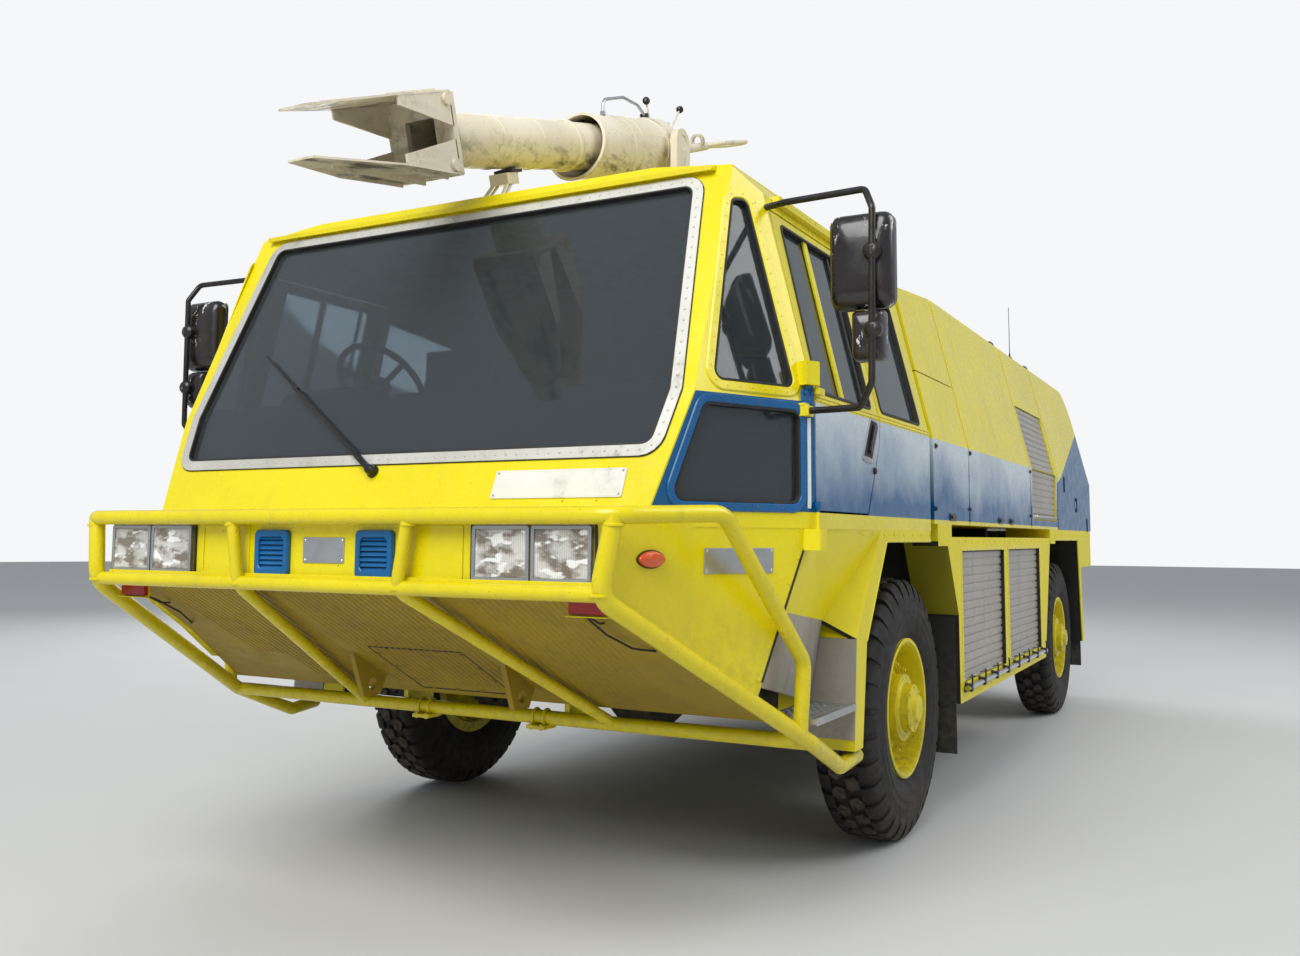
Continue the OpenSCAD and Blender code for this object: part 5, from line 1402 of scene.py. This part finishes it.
# Body
def body_dressing():
    """Latches, shutter frames and bars, recesses and the fillers of both sides."""
    latches, handles, hooks, dark, frames = Solid(), Solid(), Solid(), Solid(), Solid()
    caps, pulls, rivets = Solid(), Solid(), Lines()
    for y, z in ((2767, 1919), (2745, 1598), (3529, 1932), (3501, 1612), (5400, 1925), (5400, 1610)):
        latches.prism(box_outline(16, 13, 4, y, z), 0.3, 3, SIDE)
        latches.lathe([(0, 3), (9, 3), (9, 9), (6, 12), (0, 12)], SIDE @ move(y, z, 0), 16)
    latches.mirrored().make("body_latches", black_gloss)
    handles.tube([(5632, 1612, -26), (5632, 1612, 3), (6500, 1612, 3), (6500, 1612, -26)], 8, 16, 12, SIDE)
    for y0, y1 in LOCKER_BAYS:
        handles.block((y0 + 6, 664, -31), (y1 - 6, 680, -12), SIDE)
        frames.band([(y0, 660), (y1, 660), (y1, 1380), (y0, 1380)], -2, 16, 0.3, 3.5, SIDE)
    handles.tube([(3262, 640, 26), (5728, 640, 26)], 15, 0, 16, SIDE)
    for k in range(8):
        y = 3310 + k * 336
        hooks.prism(box_outline(22, 26, 5, y, 640), 0.3, 12, SIDE, 2)
        hooks.prism(box_outline(17, 21, 5, y, 640), 12, 44, SIDE, 3)
        hooks.tube([(y, 652, 40), (y + 6, 690, 40), (y + 22, 706, 34)], 5, 12, 8, SIDE)
    handles.mirrored().make("shutter_handles", chrome)
    hooks.mirrored().make("locker_hooks", black_gloss)
    frames.band([(5480, 1580), (6540, 1580), (6540, BELT_Z), (5480, BELT_Z)], -1.5, 0.5, -20, -1, SIDE)
    frames.mirrored().make("shutter_frames", paint_yellow)
    for y, z, w, h in ((6936, 1840, 40, 120), (7550, 1690, 110, 110), (8246, 1520, 40, 110)):
        dark.block((y + 1, z + 1, -29.6), (y + w - 1, z + h - 1, -28), SIDE)
        dark.band(box_outline(w / 2, h / 2, 4, y + w / 2, z + h / 2), 0.2, 7, 0.3, 3, SIDE)
    dark.mirrored().make("recess_linings", black_rubber)
    caps.lathe([(0, -28), (46, -28), (46, -12), (38, -6), (20, -6), (18, -12), (0, -12)],
               SIDE @ move(7605, 1745, 0), 32)
    caps.mirrored().make("filler_caps", white_plate, slot="alloy")
    for y in (3505, 5423, 6600):
        for z0, z1, place, to in ((1524, BELT_Z, SIDE, lambda z: z), (BELT_Z, 2790, SIDE_UP, up_side)):
            for shift in (-34, 34):
                rivets.add(place, [(y + shift, to(z0 + 24), 0), (y + shift, to(z1 - 24), 0)])
    rivets.mirrored().make("panel_rivets", small("rivet", 4.6), 96, paint_livery)
    for y in (3100, 4350, 4700):
        pulls.prism(box_outline(62, 20, 8, y, 1560), 0.3, 6, SIDE, 1.5)
        pulls.prism(box_outline(44, 9, 6, y, 1560), 5, 14, SIDE, 2)
    pulls.mirrored().make("panel_pulls", black_gloss)


def wing_dressing():
    """Bolts along the wings' top edge and the lips of the wheel arches."""
    studs, lips = Lines(), Solid()
    for y0, y1, z in ((1560, 2620, 1462), (3230, 6150, 1432), (6450, 8420, 1478)):
        studs.add(SIDE, [(y0, z, 0), (y1, z, 0)])
    studs.mirrored().make("wing_bolts", small("bolt", 6, 5), 148, paint_yellow)
    for arch in ([(1600, 1020), (1899, 1433), (2640, 1433)], [(6430, 1440), (7650, 1440), (7793, 544)]):
        for a, b in zip(arch, arch[1:]):
            lips.tube([(HALF_W - 4, *a), (HALF_W - 4, *b)], 7, 0, 10)
    lips.mirrored().make("wing_lips", paint_yellow)


def roof_equipment():
    """Hatch, aerial, roof lamps and rows of screws on the body roof."""
    s = Solid()
    hatch = move(0, 4400, BODY_ROOF_Z)
    s.lathe([(0, 0.3), (260, 0.3), (260, 40), (252, 50), (236, 50), (230, 58), (230, 68), (222, 74),
             (120, 82), (0, 84)], hatch, 56)
    s.tube([(-70, -40, 78), (-70, -40, 112), (70, -40, 112), (70, -40, 78)], 7, 16, 10, hatch)
    s.make("roof_hatch", paint_yellow, replaces="roof_fittings")
    ring_of("hatch_bolts", item("hatch_bolt", hex_bolt(11, 3, 8, 11, 244, 50)), 12, hatch, alloy)
    black = Solid()
    black.lathe([(0, 0.3), (30, 0.3), (30, 10), (22, 16), (16, 30), (8, 34), (6, 60), (3.2, 66), (2.2, 430),
                 (0, 430)], move(1280, 6100, BODY_ROOF_Z), 20)
    for y in (5560, 6924):
        for x in (-1240, 1240):
            black.prism(box_outline(60, 50, 8, x, y), BODY_ROOF_Z + 0.3, BODY_ROOF_Z + 16, Matrix(), 3)
            black.prism(box_outline(20, 24, 5, x, y), BODY_ROOF_Z + 15, BODY_ROOF_Z + 34, Matrix(), 2)
            black.lathe([(0, -32), (18, -32), (25, -22), (25, 30), (21, 31), (20, 26), (0, 25)],
                        move(x, y, BODY_ROOF_Z + 50) @ turn("X", 90), 24)
    black.make("roof_lamps_and_aerial", black_gloss, replaces="roof_fittings")
    seams = Lines()
    for x in (-1180, 1180):
        seams.add(move(0, 0, BODY_ROOF_Z), [(x, 3560, 0), (x, 8100, 0)])
    seams.make("roof_screws", small("rivet", 5.5), 120, paint_livery)


def rear_end():
    """Lamp rows, a blank plate, grips and the frame and hinges of the engine bay."""
    shells, plate, grips, hinges, rim = (Solid(REAR) for _ in range(5))
    red, amber, clear = Solid(REAR), Solid(REAR), Solid(REAR)
    lamp_z, plate_outline = 1635, box_outline(260, 56, 6, 0, 1600)
    for k, lens in enumerate((clear, red, amber)):
        for flip in (1, -1):
            x = flip * (1055 + k * 130)
            shells.band(box_outline(55, 55, 8, x, lamp_z), -7, 0, 0.3, 12)
            shells.prism(box_outline(50, 50, 6, x, lamp_z), 0.3, 4)
            lens.prism(box_outline(48, 48, 6, x, lamp_z), 4, 26, edge=5)
    shells.make("rear_lamp_shells", black_gloss, replaces="lamps")
    red.make("rear_red_lenses", lens_red, replaces="lamps")
    amber.make("rear_amber_lenses", lens_orange, replaces="lamps")
    # The clear rear lenses take the same finish, with its painted reflections and highlights.
    clear.make("rear_clear_lenses", lens_clear, replaces="lamps")
    plate.prism(plate_outline, 0.3, 5, edge=1)
    plate.band(plate_outline, -7, -4.5, 4.8, 5.6)
    plate.make("rear_blank_plate", white_plate)
    for x in (-760, 760):
        grips.tube([(x, 1800, 0.5), (x, 1800, 42), (x, 2300, 42), (x, 2300, 0.5)], 14, 22, 14)
        for z in (1800, 2300):
            grips.lathe([(0, 0.3), (30, 0.3), (30, 5), (16, 9), (0, 9)], REAR @ move(x, z, 0), 24)
    for z in (1760, 2000, 2240):
        for x in (-650, 650):
            hinges.prism(box_outline(34, 24, 4, x, z), 0.3, 4, edge=1)
            hinges.lathe([(0, -24), (7, -24), (7, 24), (0, 24)], REAR @ move(x, z, 7) @ turn("X", 90), 14)
    grips.make("rear_grips", chrome)
    hinges.make("engine_bay_hinges", alloy)
    rim.band(box_outline(632, 306, 12, 0, 1987), 0, 14, 0.3, 5)
    rim.make("engine_bay_frame", paint_livery, soften=1)


# Monitor
def monitor():
    monitor_barrel()
    monitor_valve()
    monitor_fastenings()


def monitor_barrel():
    """Sleeve with its slanted mouth, the barrel in it, and the jaws."""
    s, along, back = Solid(MONITOR), MONITOR @ turn("X", 90), MONITOR @ turn("X", -90)
    s.lathe([(0, -232), (45, -232), (45, 232), (0, 232)], MONITOR @ turn("Y", 90), 36)
    n, mouth_y, slope = 56, -772, math.tan(math.radians(21))
    rings = []
    for r, y in ((165, 58), (165, -40), (165, None), (157, None), (157, -302), (60, -302), (60, 58)):
        rings.append([(x, (mouth_y + z * slope) if y is None else y, z) for x, z in disc_outline(r, sides=n)])
    s.loft(rings, closed=True)
    for y in (-60, -330, -420):
        s.lathe([(165, y - 9), (168.5, y - 5), (168.5, y + 5), (165, y + 9)], back, n, closed=True)
    s.loft([[(x, mouth_y + z * slope + d, z) for x, z in disc_outline(r, sides=n)]
            for d, r in ((0, 165), (0, 172), (12, 172), (12, 165))], closed=True)
    s.lathe([(111, 1990), (118, 1990), (118, 320), (111, 320)], along, 48, closed=True)
    for d in (880, 1240, 1560, 1900):
        s.lathe([(118, d - 8), (121.5, d - 4), (121.5, d + 4), (118, d + 8)], along, 48, closed=True)
    s.lathe([(122, 900), (128, 905), (128, 925), (122, 930), (117.5, 930), (117.5, 900)], along, 48,
            closed=True)
    outline = box_outline(170, 170, 10)
    opening = [(104 * math.cos(a), 104 * math.sin(a)) for a in (math.atan2(y, x) for x, y in outline)]
    s.loft([[(x, y, z) for x, y in ring] for ring, z in
            ((opening, 1980), (outline, 1980), (outline, 2010), (opening, 2010))], along, closed=True)
    close = math.tan(math.radians(6))
    for flip in (1, -1):
        half = MONITOR @ Matrix.Diagonal((1, 1, flip, 1)) @ move(0, -2010, 0)
        for x in (-170, 160):
            s.loft([[(px, y, z) for y, z in ((6, 26), (6, 168), (-322, 168 - 322 * close), (-322, 92))]
                    for px in (x, x + 10)], half)
        plate = half @ move(0, 0, 170) @ turn("X", 6)
        s.prism([(-172, 5), (172, 5), (172, -330), (64, -718), (-64, -718), (-172, -330)], -8, 0, plate)
        for x, w, end, low, high in ((0, 4, -560, 12, 22), (-120, 3, -330, 9, 14), (120, 3, -330, 9, 14)):
            s.loft([[(k, -20, 0), (k, end, 0), (k, end, low), (k, -20, high)] for k in (x - w, x + w)], plate)
        for x in (-176, 176):
            s.lathe([(0, -7), (26, -7), (26, 7), (0, 7)], half @ move(x, -24, 132) @ turn("Y", 90), 24)
    s.make("monitor_barrel_shell", cream_grown, "monitor_barrel", replaces="monitor_barrel")


def monitor_valve():
    """Valve, tiller loop and levers behind the sleeve, and the pipe and clamp on the sleeve."""
    valve, black, back = Solid(MONITOR), Solid(MONITOR), MONITOR @ turn("X", -90)
    valve.lathe([(0, -60), (160, -60), (175, -56), (175, 76), (168, 80), (0, 80)], back, 56)
    valve.prism(box_outline(95, 115, 18, 0, 5), 80, 330, back, 8)
    valve.lathe([(0, 330), (60, 330), (60, 352), (72, 354), (72, 372), (60, 374), (60, 396), (40, 400),
                 (0, 400)], back, 40)
    valve.lathe([(0, 92), (0, 154), (44, 154), (62, 150), (62, 96), (44, 92)], MONITOR @ move(0, 200, 0), 32)
    valve.tube([(0, 380, 0), (0, 600, 19), (0, 820, 40)], [28, 26, 26], 0, 24)
    for d in (690, 708):
        valve.lathe([(28, d), (44, d + 2), (44, d + 14), (28, d + 16)], back @ turn("X", 5.4), 32,
                    closed=True)
    valve.tube([(14, 800, 40), (75, 930, 50), (75, 1310, 66), (0, 1370, 68), (-75, 1310, 66), (-75, 930, 50),
                (-14, 800, 40)], 14, 40, 16)
    for angle, length, base in ((6, 175, (0, 90, 100)), (-52, 255, (0, 300, 90))):
        stick = MONITOR @ move(*base) @ turn("X", angle)
        valve.lathe([(0, -20), (14, -20), (14, 18), (7, 24), (6, length - 16), (0, length - 16)], stick, 16)
        knob = ((0, -23), (9, -21), (18, -14), (23, 0), (18, 14), (9, 21), (0, 23))
        black.lathe([(r, length + d) for r, d in knob], stick, 20)
    valve.make("monitor_valve", paint_cream, "monitor_barrel", soften=1.5, replaces="monitor_barrel")
    pipe = Solid(MONITOR)
    pipe.tube([(60, -560, 160), (62, -540, 235), (30, -260, 268), (10, -60, 240), (4, 40, 176),
               (4, 120, 120)], 9, 90, 12)
    for union in ((60, -556, 166), (4, 52, 172)):
        pipe.lathe([(9, -12), (16, -10), (16, 10), (9, 12)], MONITOR @ move(*union), 12, closed=True)
    pipe.make("monitor_pipe", alloy, "monitor_barrel", replaces="monitor_barrel")
    black.lathe([(165, -42), (173, -38), (173, -16), (165, -12)], MONITOR @ turn("X", 90), 56, closed=True)
    black.prism(box_outline(22, 14, 4), 170, 200, MONITOR @ move(0, 26, 0))
    black.make("monitor_knobs_and_clamp", black_gloss, "monitor_barrel", replaces="monitor_barrel")


def monitor_fastenings():
    """Bolts, rivets and the rubber pad on the parking rest."""
    bolt = item("flange_bolt", hex_bolt(9, 3, 7, 11, 158, 80))
    ring_of("monitor_flange_bolts", bolt, 16, MONITOR @ turn("X", -90), alloy, "monitor_barrel")
    rivets = Lines()
    for angle in (74, -74):
        rivets.add(MONITOR @ turn("Y", angle) @ move(0, 0, 165), [(0, -700, 0), (0, -80, 0)])
    for x in (-150, 150):
        rivets.add(MONITOR @ move(0, -2010, 171) @ turn("X", 6), [(x, -20, 0), (x, -310, 0)])
    rivets.make("monitor_rivets", small("rivet", 5), 62, cream_grown, "monitor_barrel")
    bolt = item("base_bolt", hex_bolt(14, 4, 11, 16, 145, 25))
    ring_of("monitor_base_bolts", bolt, 8, move(0, MONITOR_Y, 2925), alloy)
    pad, rest = Solid(), MONITOR @ move(0, -1360 / math.cos(math.radians(BARREL_DIP)), -118)
    section = [(-50, -19), (50, -19), (50, -6), (0, -1.5), (-50, -6)]
    pad.loft([[(x, y, z) for x, z in section] for y in (-42, 42)], rest)
    pad.make("monitor_rest_pad", black_rubber)


for make_pieces in (wheels, bull_bar, headlamps, reflectors, nose_dressing, underside_panel, screen, mirrors,
                    steps, cab_windows, door_dressing, belt_and_hinges, roof_edges, seats, cab_inside,
                    body_dressing, wing_dressing, roof_equipment, rear_end, monitor):
    make_pieces()
for shape in ITEMS.values():
    bpy.data.objects.remove(shape)
